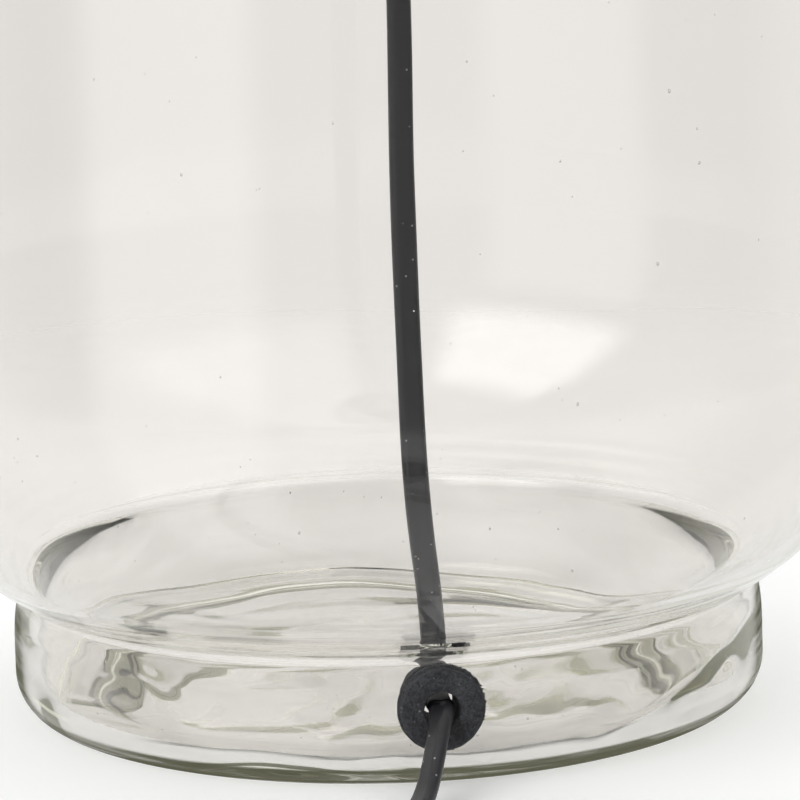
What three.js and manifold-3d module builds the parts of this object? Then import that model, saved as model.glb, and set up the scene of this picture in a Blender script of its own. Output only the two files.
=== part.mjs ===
// Glass table lamp: a mouth-blown clear glass body on a stepped foot, with the flat twin lead hanging
// inside it and leaving through a rubber grommet in the foot. A rubber bung in the neck carries the
// cap, the stem and the lampholder. The lead ends in an in-line rocker switch, a neat coil and a plug.
// Millimetres, +Z up, origin at the middle of the foot's underside, lead exit on the -Y side.

import * as THREE from 'three';
import * as BufferGeometryUtils from 'three/addons/utils/BufferGeometryUtils.js';
import Module from 'manifold-3d';

const wasm = await Module();
wasm.setup();

// Glass
const FOOT_RADIUS = 85;
const FOOT_HEIGHT = 32;
const FOOT_EDGE_RADIUS = 9;
const FOOT_WALL = 6;
const FLOOR_THICKNESS = 7;
const FLOOR_DOME = 2;
const REST_RING_WIDTH = 13;
const KICK_DEPTH = 2.4;
const INNER_CORNER_RADIUS = 4;
const WAIST_STEP = 1.6;
const LIP_RADIUS = 16;
const LIP_ANGLE = THREE.MathUtils.degToRad(29);
const BODY_RADIUS = 121;
const BODY_WALL = 4;
const SHOULDER_START = 300;
const SHOULDER_RADIUS = 72;
const SHOULDER_ANGLE = THREE.MathUtils.degToRad(75);
const NECK_RADIUS = 29;
const NECK_BORE = 23;
const NECK_RISE = 26;
const NECK_BEAD = 3;
const NECK_BEAD_HEIGHT = 8;
const GLASS_SEGMENTS = 48;
const GLASS_TURN = THREE.MathUtils.degToRad(22.5);

// Lead and grommet
const LEAD_WIDTH = 5.8;
const LEAD_THICKNESS = 3.6;
const CORE_RADIUS = 1.1;
const LEAD_SIDES = 8;
const CORE_SIDES = 6;
const GROMMET_HEIGHT = 19;
const GROMMET_HOLE = 6.5;
const GROMMET_FLANGE = 9.75;
const GROMMET_BACK_FLANGE = 8;
const GROMMET_FLANGE_THICKNESS = 2.9;
const GROMMET_BORE = 3.9;

// Coil
const COIL_CENTRE = new THREE.Vector2(66, -202);
const COIL_RADIUS = 40;
const COIL_LOOPS = 6.5;
const COIL_PITCH = 4.7;
const COIL_LAYER = 6.4;
const COIL_STEPS = 24;
const COIL_SIDES = 6;

// Neck fittings
const TUBE_RADIUS = 5;
const TUBE_BORE = 3.9;
const TUBE_BELOW_BUNG = 10;
const BUSHING_BORE = 3.3;
const BUSHING_FLANGE = 6.4;
const BUSHING_FLANGE_THICKNESS = 2;
const BUNG_HEIGHT = 22;
const WASHER_RADIUS = 17;
const WASHER_THICKNESS = 1.6;
const NUT_FLATS = 14;
const NUT_HEIGHT = 4;
const SEAL_THICKNESS = 2;
const CAP_SKIRT = 15;
const CAP_WALL = 1.2;
const CAP_DOME = 7;
const STEM_RADIUS = 10.5;
const STEM_HEIGHT = 15;
const STEM_WALL = 1.5;

// Lampholder
const HOLDER_RADIUS = 19.6;
const HOLDER_WALL = 1.9;
const HOLDER_CAP_HEIGHT = 28;
const HOLDER_HUB_RADIUS = 9.5;
const HOLDER_HUB_HEIGHT = 7;
const CORE_BLOCK_HEIGHT = 11;
const SKIRT_BELOW_SEAT = 5;
const SKIRT_ABOVE_SEAT = 26;
const SEAT_RADIUS = 26;
const SEAT_THICKNESS = 3;
const SOCKET_MINOR = 12.35;
const SOCKET_MAJOR = 13.25;
const SOCKET_PITCH = 3.62;
const SOCKET_TURNS = 5;
const SHELL_WALL = 0.5;
const RING_RADIUS = 28;
const RING_COLLAR = 23.5;
const RING_FLANGE_THICKNESS = 2.6;
const RING_HEIGHT = 8;
const RING_TRAVEL = 12;
const TERMINAL_SPACING = 17;
const TERMINAL_SIZE = 6;
const TERMINAL_HEIGHT = 6;
const TERMINAL_SCREW_RADIUS = 1.7;
const TERMINAL_SCREW_HEAD = 1.6;
const RIVET_RADIUS = 1.3;
const CONTACT_WIDTH = 6;
const CONTACT_THICKNESS = 0.6;
const CONTACT_RISE = 4.5;
const GRIP_RADIUS = 7.6;
const GRIP_HEIGHT = 6;
const GRIP_SCREW_RADIUS = 1.5;
const LOCK_SCREW_RADIUS = 1.5;

// In-line switch
const SWITCH_CENTRE = new THREE.Vector2(-32, -242);
const SWITCH_LENGTH = 62;
const SWITCH_WIDTH = 24;
const SWITCH_SPLIT = 7;
const SWITCH_HEIGHT = 17;
const SWITCH_WALL = 2;
const SWITCH_CAVITY = 40;
const SWITCH_ROUNDING = 2;
const SWITCH_SCREW_RADIUS = 1.5;
const SWITCH_SCREW_HEAD = 2.7;
const SWITCH_SCREW_DEPTH = 9;
const SWITCH_SCREW_X = 24;
const SWITCH_SCREW_Y = 6.5;
const ROCKER_LENGTH = 22;
const ROCKER_WIDTH = 11;
const ROCKER_HEIGHT = 7;
const ROCKER_PROUD = 1.6;
const ROCKER_DIP = 1.5;
const ROCKER_PIN_RADIUS = 1.4;
const ROCKER_PIN_LENGTH = 1.6;
const ROCKER_TILT = THREE.MathUtils.degToRad(8);
const BLADE_THICKNESS = 0.8;
const BLADE_WIDTH = 5;
const CONTACT_REACH = 9;
const CONTACT_TIP_DROP = 2.4;

// Plug
const PLUG_FACE = new THREE.Vector2(-74, -198);
const PLUG_WIDTH = 34;
const PLUG_THICKNESS = 13.7;
const PLUG_LENGTH = 36;
const PLUG_TAIL_WIDTH = 13;
const PLUG_ROUNDING = 2.5;
const PIN_SPACING = 19;
const PIN_LENGTH = 19;
const PIN_RADIUS = 2;
const PIN_SHANK_RADIUS = 1.5;
const PIN_SLEEVE_LENGTH = 10;
const PIN_SLEEVE_RADIUS = 1.9;
const PIN_SEAT_DEPTH = 10;
const RELIEF_LENGTH = 24;
const RELIEF_RADIUS = 5.6;
const RELIEF_END_RADIUS = 4.1;
const RELIEF_RIBS = 4;

// Facets of the small turned pieces
const SMALL_TURN = THREE.MathUtils.degToRad(30);
const SMALL_SEGMENTS = 24;
const HOLDER_SEGMENTS = 28;

// Clearances
const GAP = 0.3;
const RUNNING_GAP = 0.08;
const FLOOR_GAP = 0.15;

// Finishes
const finish = (color, roughness, metalness, extra = {}) =>
	new THREE.MeshStandardMaterial({ color, roughness, metalness, ...extra });
const CLEAR_GLASS = finish(0xe4ece6, 0.03, 0, { transparent: true, opacity: 0.35 });
const BLACK_RUBBER = finish(0x26272a, 0.75, 0);
const BLACK_PVC = finish(0x1f2024, 0.45, 0);
const BLACK_PLASTIC = finish(0x18181a, 0.4, 0);
const BLACK_METAL = finish(0x202022, 0.35, 0.6);
const ZINC_STEEL = finish(0xb9bcc0, 0.35, 1);
const BRASS = finish(0xc9a24d, 0.3, 1);
const NICKEL = finish(0xc8c6c0, 0.2, 1);
const CERAMIC = finish(0xe8e6df, 0.35, 0);
const BROWN_CORE = finish(0x5a3420, 0.5, 0);
const BLUE_CORE = finish(0x2a4a8c, 0.5, 0);

// A closed body with shared vertices, no collapsed faces, and its faces pointing out.
function closed(geometry) {
	const bare = geometry.clone();
	for (const name of Object.keys(bare.attributes)) {
		if (name !== 'position') bare.deleteAttribute(name);
	}
	const merged = BufferGeometryUtils.mergeVertices(bare, 1e-4);
	const index = merged.index.array;
	const place = merged.attributes.position;
	const kept = [];
	const a = new THREE.Vector3();
	const b = new THREE.Vector3();
	const c = new THREE.Vector3();
	let volume = 0;
	for (let i = 0; i < index.length; i += 3) {
		const [p, q, r] = [index[i], index[i + 1], index[i + 2]];
		if (p === q || q === r || r === p) continue;
		a.fromBufferAttribute(place, p);
		b.fromBufferAttribute(place, q);
		c.fromBufferAttribute(place, r);
		volume += a.dot(b.cross(c));
		kept.push(p, q, r);
	}
	if (volume < 0) kept.reverse();
	const body = new THREE.BufferGeometry();
	body.setAttribute('position', merged.attributes.position);
	body.setIndex(kept);
	return body;
}

function toManifold(geometry) {
	const body = closed(geometry);
	return new wasm.Manifold(new wasm.Mesh({
		numProp: 3,
		vertProperties: new Float32Array(body.attributes.position.array),
		triVerts: new Uint32Array(body.index.array),
	}));
}

function fromManifold(solid) {
	const mesh = solid.getMesh();
	const geometry = new THREE.BufferGeometry();
	geometry.setAttribute('position', new THREE.BufferAttribute(new Float32Array(mesh.vertProperties), 3));
	geometry.setIndex(new THREE.BufferAttribute(new Uint32Array(mesh.triVerts), 1));
	return geometry;
}

function cut(geometry, ...tools) {
	return fromManifold(tools.reduce((solid, tool) => solid.subtract(toManifold(tool)), toManifold(geometry)));
}

function join(geometry, ...others) {
	return fromManifold(others.reduce((solid, other) => solid.add(toManifold(other)), toManifold(geometry)));
}

// A solid of revolution about Z from [radius, height] points. The outline starts and ends on the axis.
function turned(points, segments = SMALL_SEGMENTS) {
	const outline = points.map(([radius, height]) => new THREE.Vector2(radius, height));
	return new THREE.LatheGeometry(outline, segments).rotateX(Math.PI / 2);
}

// A ring about Z: the outline closes on itself.
function ring(points, segments = SMALL_SEGMENTS) {
	return turned([...points, points[0]], segments);
}

function washer(inner, outer, low, high, segments = SMALL_SEGMENTS) {
	return ring([[inner, low], [outer, low], [outer, high], [inner, high]], segments);
}

function rod(radius, low, high, segments = 16) {
	return new THREE.CylinderGeometry(radius, radius, high - low, segments)
		.rotateX(Math.PI / 2).translate(0, 0, (low + high) / 2);
}

function block(x0, x1, y0, y1, z0, z1) {
	return new THREE.BoxGeometry(x1 - x0, y1 - y0, z1 - z0).translate((x0 + x1) / 2, (y0 + y1) / 2, (z0 + z1) / 2);
}

function hexNut(flats, bore, low, high) {
	const corner = flats / 2 / Math.cos(Math.PI / 6);
	return cut(rod(corner, low, high, 6), rod(bore, low - 1, high + 1, 24));
}

const ovalPoints = (thickness, width, sides) => Array.from({ length: sides }, (_, i) => {
	const angle = (i + 0.5) / sides * 2 * Math.PI;
	const reach = 1 / Math.cos(Math.PI / sides);
	return new THREE.Vector2(thickness / 2 * Math.cos(angle) * reach, width / 2 * Math.sin(angle));
});

const at = (x, y, z) => new THREE.Vector3(x, y, z);

// A route for the flat lead. Its wide side follows sideOf, and rolls by two angles from end to end.
class FlatRoute extends THREE.CatmullRomCurve3 {
	constructor(points, sideOf, rollFrom, rollTo) {
		super(points, false, 'centripetal');
		this.sideOf = sideOf;
		this.rollFrom = rollFrom;
		this.rollTo = rollTo;
	}

	computeFrenetFrames(segments) {
		const frames = { tangents: [], normals: [], binormals: [] };
		for (let i = 0; i <= segments; i++) {
			const tangent = this.getTangentAt(i / segments);
			const side = this.sideOf(tangent).normalize();
			const roll = THREE.MathUtils.lerp(this.rollFrom, this.rollTo, THREE.MathUtils.smoothstep(i / segments, 0, 1));
			frames.tangents.push(tangent);
			frames.normals.push(side.clone().cross(tangent).applyAxisAngle(tangent, roll));
			frames.binormals.push(side.applyAxisAngle(tangent, roll));
		}
		return frames;
	}
}

// Hanging, the wide side faces along X. Lying, it is level.
const hangingSide = (tangent) => at(1, 0, 0).addScaledVector(tangent, -tangent.x);
const levelSide = (tangent) => tangent.clone().cross(at(0, 0, 1));

function lead(points, steps, sideOf = levelSide, rollFrom = 0, rollTo = 0) {
	const section = new THREE.Shape(ovalPoints(LEAD_THICKNESS, LEAD_WIDTH, LEAD_SIDES));
	const extrudePath = new FlatRoute(points, sideOf, rollFrom, rollTo);
	return new THREE.ExtrudeGeometry(section, { steps, extrudePath, bevelEnabled: false });
}

function roundWire(points, radius, steps) {
	const path = new THREE.CatmullRomCurve3(points, false, 'centripetal');
	const section = new THREE.Shape(ovalPoints(2 * radius, 2 * radius, CORE_SIDES));
	return new THREE.ExtrudeGeometry(section, { steps, extrudePath: path, bevelEnabled: false });
}

// Points along an outline, as many on each curve as it turns by the given step.
function outlinePoints(path, step) {
	const points = [path.curves[0].getPoint(0)];
	for (const curve of path.curves) {
		const turn = curve.getTangent(0).angleTo(curve.getTangent(1));
		const steps = curve.isLineCurve ? 1 : Math.max(2, Math.ceil(turn / step));
		for (let i = 1; i <= steps; i++) points.push(curve.getPoint(i / steps));
	}
	return points;
}

// Glass body, from the derived places of its arcs.
const waistRadius = FOOT_RADIUS - WAIST_STEP;
const lipReach = LIP_RADIUS * Math.sin(LIP_ANGLE);
const lowerShoulder = (BODY_RADIUS - waistRadius - lipReach) / (1 - Math.sin(LIP_ANGLE));
const lipCentre = new THREE.Vector2(waistRadius, FOOT_HEIGHT + LIP_RADIUS);
const lowerCentre = new THREE.Vector2(
	BODY_RADIUS - lowerShoulder,
	lipCentre.y + (lowerShoulder - LIP_RADIUS) * Math.cos(LIP_ANGLE),
);
const upperCentre = new THREE.Vector2(BODY_RADIUS - SHOULDER_RADIUS, SHOULDER_START);
const shoulderTop = SHOULDER_START + SHOULDER_RADIUS;
const glassTop = shoulderTop + NECK_RISE;
const footBore = FOOT_RADIUS - FOOT_WALL;
const restInner = FOOT_RADIUS - FOOT_EDGE_RADIUS - REST_RING_WIDTH;

// The shoulder runs into the neck by one curve, tangent to both.
function shoulderToNeck(path, shoulderRadius, neckRadius, neckStart) {
	const start = new THREE.Vector2(
		upperCentre.x + shoulderRadius * Math.cos(SHOULDER_ANGLE),
		upperCentre.y + shoulderRadius * Math.sin(SHOULDER_ANGLE),
	);
	const reach = 0.5 * (start.x - neckRadius);
	path.bezierCurveTo(
		start.x - reach * Math.sin(SHOULDER_ANGLE), start.y + reach * Math.cos(SHOULDER_ANGLE),
		neckRadius, neckStart - 0.6 * (neckStart - start.y), neckRadius, neckStart,
	);
}

function glassOutside() {
	const quarter = Math.PI / 2;
	const path = new THREE.Path();
	path.moveTo(0, KICK_DEPTH);
	path.quadraticCurveTo(restInner * 0.9, KICK_DEPTH, restInner, 0);
	path.lineTo(FOOT_RADIUS - FOOT_EDGE_RADIUS, 0);
	path.absarc(FOOT_RADIUS - FOOT_EDGE_RADIUS, FOOT_EDGE_RADIUS, FOOT_EDGE_RADIUS, -quarter, 0);
	path.lineTo(FOOT_RADIUS, FOOT_HEIGHT * 0.6);
	path.quadraticCurveTo(FOOT_RADIUS, FOOT_HEIGHT * 0.85, waistRadius, FOOT_HEIGHT);
	path.absarc(lipCentre.x, lipCentre.y, LIP_RADIUS, -quarter, LIP_ANGLE - quarter);
	path.absarc(lowerCentre.x, lowerCentre.y, lowerShoulder, LIP_ANGLE - quarter, 0);
	path.absarc(upperCentre.x, upperCentre.y, SHOULDER_RADIUS, 0, SHOULDER_ANGLE);
	shoulderToNeck(path, SHOULDER_RADIUS, NECK_RADIUS, glassTop - NECK_BEAD_HEIGHT - NECK_BEAD);
	path.quadraticCurveTo(NECK_RADIUS + NECK_BEAD, glassTop - NECK_BEAD_HEIGHT,
		NECK_RADIUS + NECK_BEAD, glassTop - NECK_BEAD_HEIGHT / 2);
	path.quadraticCurveTo(NECK_RADIUS + NECK_BEAD, glassTop, NECK_RADIUS, glassTop);
	return outlinePoints(path, GLASS_TURN);
}

function glassInside() {
	const quarter = Math.PI / 2;
	const bead = LIP_RADIUS - BODY_WALL;
	const path = new THREE.Path();
	path.moveTo(0, FLOOR_THICKNESS + FLOOR_DOME);
	path.quadraticCurveTo(restInner * 0.5, FLOOR_THICKNESS + FLOOR_DOME, restInner, FLOOR_THICKNESS);
	path.lineTo(footBore - INNER_CORNER_RADIUS, FLOOR_THICKNESS);
	path.absarc(footBore - INNER_CORNER_RADIUS, FLOOR_THICKNESS + INNER_CORNER_RADIUS,
		INNER_CORNER_RADIUS, -quarter, 0);
	path.lineTo(footBore, FOOT_HEIGHT * 0.86);
	path.quadraticCurveTo(footBore, lipCentre.y - bead - 1,
		lipCentre.x + bead * Math.sin(LIP_ANGLE / 2), lipCentre.y - bead * Math.cos(LIP_ANGLE / 2));
	path.absarc(lipCentre.x, lipCentre.y, bead, LIP_ANGLE / 2 - quarter, LIP_ANGLE - quarter);
	path.absarc(lowerCentre.x, lowerCentre.y, lowerShoulder - BODY_WALL, LIP_ANGLE - quarter, 0);
	path.absarc(upperCentre.x, upperCentre.y, SHOULDER_RADIUS - BODY_WALL, 0, SHOULDER_ANGLE);
	shoulderToNeck(path, SHOULDER_RADIUS - BODY_WALL, NECK_BORE, glassTop - NECK_BEAD_HEIGHT - NECK_BEAD - 4);
	path.lineTo(NECK_BORE, glassTop);
	return outlinePoints(path, GLASS_TURN);
}

function glassBody() {
	const outline = [...glassOutside(), ...glassInside().reverse()];
	const body = turned(outline.map((point) => [Math.max(point.x, 0), point.y]), GLASS_SEGMENTS);
	const hole = rod(GROMMET_HOLE, footBore - 6, FOOT_RADIUS + 6, 24)
		.rotateX(Math.PI / 2).translate(0, 0, GROMMET_HEIGHT);
	return cut(body, hole);
}

// The grommet's axis lies along -Y at the hole in the foot. Its groove takes the curved glass wall.
const facetBore = footBore * Math.cos(Math.PI / GLASS_SEGMENTS);
const glassSide = facetBore * Math.cos(Math.asin(GROMMET_BACK_FLANGE / facetBore));
const grommetInside = glassSide - GAP;
const grommetOutside = FOOT_RADIUS + GAP;
const grommetFace = grommetOutside + GROMMET_FLANGE_THICKNESS;
const grommetBack = grommetInside - GROMMET_FLANGE_THICKNESS;

function cordGrommet() {
	const edge = 0.8;
	const waist = GROMMET_HOLE - GAP;
	return ring([
		[GROMMET_BORE, grommetBack], [GROMMET_BACK_FLANGE - edge, grommetBack],
		[GROMMET_BACK_FLANGE, grommetBack + edge], [GROMMET_BACK_FLANGE, grommetInside],
		[waist, grommetInside], [waist, grommetOutside],
		[GROMMET_FLANGE, grommetOutside], [GROMMET_FLANGE, grommetFace - edge],
		[GROMMET_FLANGE - edge / 3, grommetFace - edge / 3], [GROMMET_FLANGE - edge, grommetFace],
		[GROMMET_BORE + edge, grommetFace], [GROMMET_BORE, grommetFace - edge],
	]).rotateX(Math.PI / 2).translate(0, 0, GROMMET_HEIGHT);
}

// Neck fittings, stacked on the axis from the bung up.
const bungTop = glassTop - 1;
const bungLow = bungTop - BUNG_HEIGHT;
const washerLow = bungLow - GAP - WASHER_THICKNESS;
const nutLow = washerLow - GAP - NUT_HEIGHT;
const tubeLow = nutLow - TUBE_BELOW_BUNG;
const tubeHole = TUBE_RADIUS + GAP;
const sealLow = glassTop + GAP;
const capLow = sealLow + SEAL_THICKNESS + GAP;
const capTop = capLow + CAP_DOME;
const stemLow = capTop + GAP;
const stemTop = stemLow + STEM_HEIGHT;
const holderLow = stemTop + GAP;
const tubeTop = holderLow + HOLDER_HUB_HEIGHT + 1;

function tubeBushing() {
	const spigot = TUBE_BORE - RUNNING_GAP;
	const low = tubeLow - GAP - BUSHING_FLANGE_THICKNESS;
	return ring([
		[BUSHING_BORE, low], [BUSHING_FLANGE, low], [BUSHING_FLANGE, tubeLow - GAP],
		[spigot, tubeLow - GAP], [spigot, tubeLow + 5], [BUSHING_BORE, tubeLow + 5],
	], 16);
}

function neckCap() {
	const outer = NECK_RADIUS + NECK_BEAD + GAP + 1 + CAP_WALL;
	const path = new THREE.Path();
	path.moveTo(outer, capLow - CAP_SKIRT);
	path.lineTo(outer, capLow - 2);
	path.quadraticCurveTo(outer, capLow + CAP_WALL + 1, outer - 5, capLow + CAP_WALL + 1);
	path.quadraticCurveTo(STEM_RADIUS + 6, capLow + CAP_WALL + 1, STEM_RADIUS + 3, capTop);
	path.lineTo(tubeHole, capTop);
	const top = outlinePoints(path, SMALL_TURN).map((point) => [point.x, point.y]);
	const under = [
		[tubeHole, capLow], [NECK_RADIUS + NECK_BEAD, capLow], [outer - CAP_WALL, capLow - 1.5],
		[outer - CAP_WALL, capLow - CAP_SKIRT],
	];
	return ring([...top, ...under], HOLDER_SEGMENTS);
}

function stemSleeve() {
	const bore = STEM_RADIUS - STEM_WALL;
	const waist = STEM_RADIUS - 0.8;
	return ring([
		[bore, stemLow], [STEM_RADIUS, stemLow], [STEM_RADIUS, stemLow + 2], [waist, stemLow + 3],
		[waist, stemTop - 3], [STEM_RADIUS, stemTop - 2], [STEM_RADIUS, stemTop], [bore, stemTop],
	]);
}

// Lampholder heights
const holderCapTop = holderLow + HOLDER_CAP_HEIGHT;
const seatTop = holderCapTop + GAP + SKIRT_BELOW_SEAT + SEAT_THICKNESS;
const skirtTop = seatTop + SKIRT_ABOVE_SEAT;
const coreTop = seatTop - SEAT_THICKNESS;
const coreLow = coreTop - CORE_BLOCK_HEIGHT;
const shellLow = coreTop + GAP;
const shellOutside = SOCKET_MAJOR + SHELL_WALL;
const holderBore = HOLDER_RADIUS - HOLDER_WALL;
const gripLow = tubeTop + GAP;

function holderCap() {
	const path = new THREE.Path();
	path.moveTo(HOLDER_HUB_RADIUS, holderLow);
	path.lineTo(HOLDER_HUB_RADIUS, holderLow + HOLDER_HUB_HEIGHT - 2);
	path.quadraticCurveTo(HOLDER_RADIUS, holderLow + HOLDER_HUB_HEIGHT,
		HOLDER_RADIUS, holderLow + HOLDER_HUB_HEIGHT + 8);
	path.lineTo(HOLDER_RADIUS, holderCapTop);
	path.lineTo(holderBore, holderCapTop);
	path.lineTo(holderBore, holderLow + HOLDER_HUB_HEIGHT + 9);
	path.quadraticCurveTo(holderBore, holderLow + HOLDER_HUB_HEIGHT + 2,
		HOLDER_HUB_RADIUS, holderLow + HOLDER_HUB_HEIGHT + HOLDER_WALL - 2);
	path.lineTo(tubeHole, holderLow + HOLDER_HUB_HEIGHT + HOLDER_WALL - 2);
	path.lineTo(tubeHole, holderLow);
	const points = outlinePoints(path, SMALL_TURN).map((point) => [point.x, point.y]);
	const hole = rod(LOCK_SCREW_RADIUS + RUNNING_GAP, TUBE_RADIUS, HOLDER_HUB_RADIUS + 2, 12)
		.rotateY(Math.PI / 2).translate(0, 0, holderLow + HOLDER_HUB_HEIGHT / 2);
	return cut(ring(points, HOLDER_SEGMENTS), hole);
}

function lockScrew() {
	return rod(LOCK_SCREW_RADIUS, TUBE_RADIUS + GAP, HOLDER_HUB_RADIUS - 0.2, 12)
		.rotateY(Math.PI / 2).translate(0, 0, holderLow + HOLDER_HUB_HEIGHT / 2);
}

function cordGrip() {
	const body = rod(GRIP_RADIUS, gripLow, gripLow + GRIP_HEIGHT, 24);
	const slot = block(-LEAD_WIDTH / 2 - GAP, LEAD_WIDTH / 2 + GAP,
		-LEAD_THICKNESS / 2 - GAP, LEAD_THICKNESS / 2 + GAP, gripLow - 1, gripLow + GRIP_HEIGHT + 1);
	const screwHole = rod(GRIP_SCREW_RADIUS + RUNNING_GAP, 0, GRIP_RADIUS + 1, 12)
		.rotateX(Math.PI / 2).translate(0, 0, gripLow + GRIP_HEIGHT / 2);
	return cut(body, slot, screwHole);
}

function gripScrew() {
	const tip = LEAD_THICKNESS / 2 + GAP;
	const shank = rod(GRIP_SCREW_RADIUS, tip, GRIP_RADIUS + 1, 12);
	const head = rod(GRIP_SCREW_RADIUS + 1.2, GRIP_RADIUS + GAP, GRIP_RADIUS + 2, 12);
	return join(shank, head).rotateX(Math.PI / 2).translate(0, 0, gripLow + GRIP_HEIGHT / 2);
}

function holderCore() {
	const radius = holderBore - GAP;
	const body = rod(radius, coreLow, coreTop, SMALL_SEGMENTS);
	const holes = [-1, 1].map((side) =>
		rod(RIVET_RADIUS + RUNNING_GAP, coreLow - 1, coreTop + 1, 12).translate(side * TERMINAL_SPACING / 2, 0, 0));
	const notch = block(-2.5, 2.5, radius - 3, radius + 1, coreLow - 1, coreTop + 1);
	return cut(body, ...holes, notch);
}

const terminalHigh = coreLow - GAP;
const terminalLow = terminalHigh - TERMINAL_HEIGHT;

function terminal(side) {
	const x = side * TERMINAL_SPACING / 2;
	const half = TERMINAL_SIZE / 2;
	const body = block(x - half, x + half, -half, half, terminalLow, terminalHigh);
	const wireHole = rod(CORE_RADIUS + GAP, -half - 1, 0, 12).rotateX(Math.PI / 2)
		.translate(x, 0, terminalLow + TERMINAL_HEIGHT / 2);
	const screwHole = rod(TERMINAL_SCREW_RADIUS + RUNNING_GAP, half - 2, half + 1, 12).rotateY(Math.PI / 2);
	if (side < 0) screwHole.rotateY(Math.PI);
	screwHole.translate(x, 0, terminalLow + TERMINAL_HEIGHT / 2);
	return cut(body, wireHole, screwHole);
}

function terminalScrew(side) {
	const half = TERMINAL_SIZE / 2;
	const shank = rod(TERMINAL_SCREW_RADIUS, half - 2 + GAP, half + 1, 12);
	const head = rod(TERMINAL_SCREW_RADIUS + 1, half + GAP, half + GAP + TERMINAL_SCREW_HEAD, 12);
	const screw = join(shank, head).rotateY(Math.PI / 2);
	if (side < 0) screw.rotateZ(Math.PI);
	return screw.translate(side * TERMINAL_SPACING / 2, 0, terminalLow + TERMINAL_HEIGHT / 2);
}

function contactRivet(side) {
	return rod(RIVET_RADIUS, coreLow, coreTop - RUNNING_GAP, 12).translate(side * TERMINAL_SPACING / 2, 0, 0);
}

// A strip bent in the XZ plane, CONTACT_WIDTH deep in Y.
function bentStrip(points, width) {
	const outline = new THREE.Shape(points.map(([x, z]) => new THREE.Vector2(x, z)));
	return new THREE.ExtrudeGeometry(outline, { depth: width, bevelEnabled: false })
		.rotateX(Math.PI / 2).translate(0, width / 2, 0);
}

const contactLow = coreTop + GAP;
const contactHigh = contactLow + CONTACT_RISE;

function centreContact() {
	const t = CONTACT_THICKNESS;
	const end = TERMINAL_SPACING / 2 + RIVET_RADIUS;
	return bentStrip([
		[-end, contactLow], [-4, contactLow], [4, contactHigh - t], [5, contactHigh - t],
		[5, contactHigh], [3.6, contactHigh], [-4.4, contactLow + t], [-end, contactLow + t],
	], CONTACT_WIDTH);
}

function sideContact() {
	const t = CONTACT_THICKNESS;
	const start = TERMINAL_SPACING / 2 - RIVET_RADIUS;
	const wall = SOCKET_MINOR - GAP;
	return bentStrip([
		[start, contactLow], [wall, contactLow], [wall, contactLow + 6], [wall - t, contactLow + 6],
		[wall - t, contactLow + t], [start, contactLow + t],
	], CONTACT_WIDTH - 2);
}

function threadShell() {
	const rows = SOCKET_TURNS * 2 + 1;
	const inside = Array.from({ length: rows + 1 }, (_, i) =>
		[i % 2 ? SOCKET_MINOR : SOCKET_MAJOR, shellLow + i * SOCKET_PITCH / 2]);
	const outside = inside.map(([radius, height]) => [radius + SHELL_WALL, height]);
	return ring([...outside, ...inside.reverse()]);
}

function holderSkirt() {
	const low = holderCapTop + GAP;
	const bore = shellOutside + GAP;
	return ring([
		[holderBore, low], [HOLDER_RADIUS, low], [HOLDER_RADIUS, seatTop - SEAT_THICKNESS],
		[SEAT_RADIUS, seatTop - SEAT_THICKNESS + 0.8], [SEAT_RADIUS, seatTop],
		[HOLDER_RADIUS, seatTop], [HOLDER_RADIUS, skirtTop - 1.5], [HOLDER_RADIUS - 1.5, skirtTop],
		[bore, skirtTop], [bore, coreTop + GAP], [holderBore, coreTop + GAP],
	], HOLDER_SEGMENTS);
}

function shadeRing() {
	const low = seatTop + GAP;
	const bore = HOLDER_RADIUS + GAP;
	return ring([
		[bore, low], [RING_RADIUS, low], [RING_RADIUS, low + RING_FLANGE_THICKNESS],
		[RING_COLLAR, low + RING_FLANGE_THICKNESS], [RING_COLLAR - 0.6, low + RING_HEIGHT - 1],
		[RING_COLLAR - 1.4, low + RING_HEIGHT], [bore, low + RING_HEIGHT],
	], HOLDER_SEGMENTS);
}

// Lead routes. The inner lead hangs from the cord grip, drifts off the axis and swings forward to the
// grommet. The outer lead drops to the table in front of the foot and runs to the switch.
const leadRest = LEAD_THICKNESS / 2 + FLOOR_GAP;
const leadStart = -(grommetFace - 2);
const innerTop = gripLow + GRIP_HEIGHT + 1;

const INNER_ROUTE = [
	at(0, 0, innerTop), at(0, 0, tubeLow + 10), at(0, 0, tubeLow - 6), at(1.4, 0, 325), at(4.6, 0, 280),
	at(6.9, 0.5, 225), at(6.6, 1, 164), at(6.1, 0, 117), at(6.1, -3, 82), at(5.5, -11, 55),
	at(3.7, -37, 33), at(1.4, -63, 21.5), at(0.2, -76, GROMMET_HEIGHT), at(0, leadStart, GROMMET_HEIGHT),
];

const SWITCH_ENTRY = SWITCH_LENGTH / 2 + GAP;
const OUTER_ROUTE = [
	at(0, leadStart - GAP, GROMMET_HEIGHT), at(-0.3, -91, 18.2), at(-1.4, -98, 13), at(-2.6, -105, 6),
	at(-5, -113, leadRest + 0.6), at(-11, -122, leadRest), at(-24, -131, leadRest), at(-45, -134, leadRest),
	at(-70, -137, leadRest), at(-94, -146, leadRest), at(-112, -163, leadRest), at(-119, -190, leadRest),
	at(-108, SWITCH_CENTRE.y + 17, leadRest), at(-90, SWITCH_CENTRE.y + 2, leadRest + 1),
	at(SWITCH_CENTRE.x - SWITCH_ENTRY - 9, SWITCH_CENTRE.y, SWITCH_SPLIT - 0.4),
	at(SWITCH_CENTRE.x - SWITCH_ENTRY, SWITCH_CENTRE.y, SWITCH_SPLIT),
];

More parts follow.
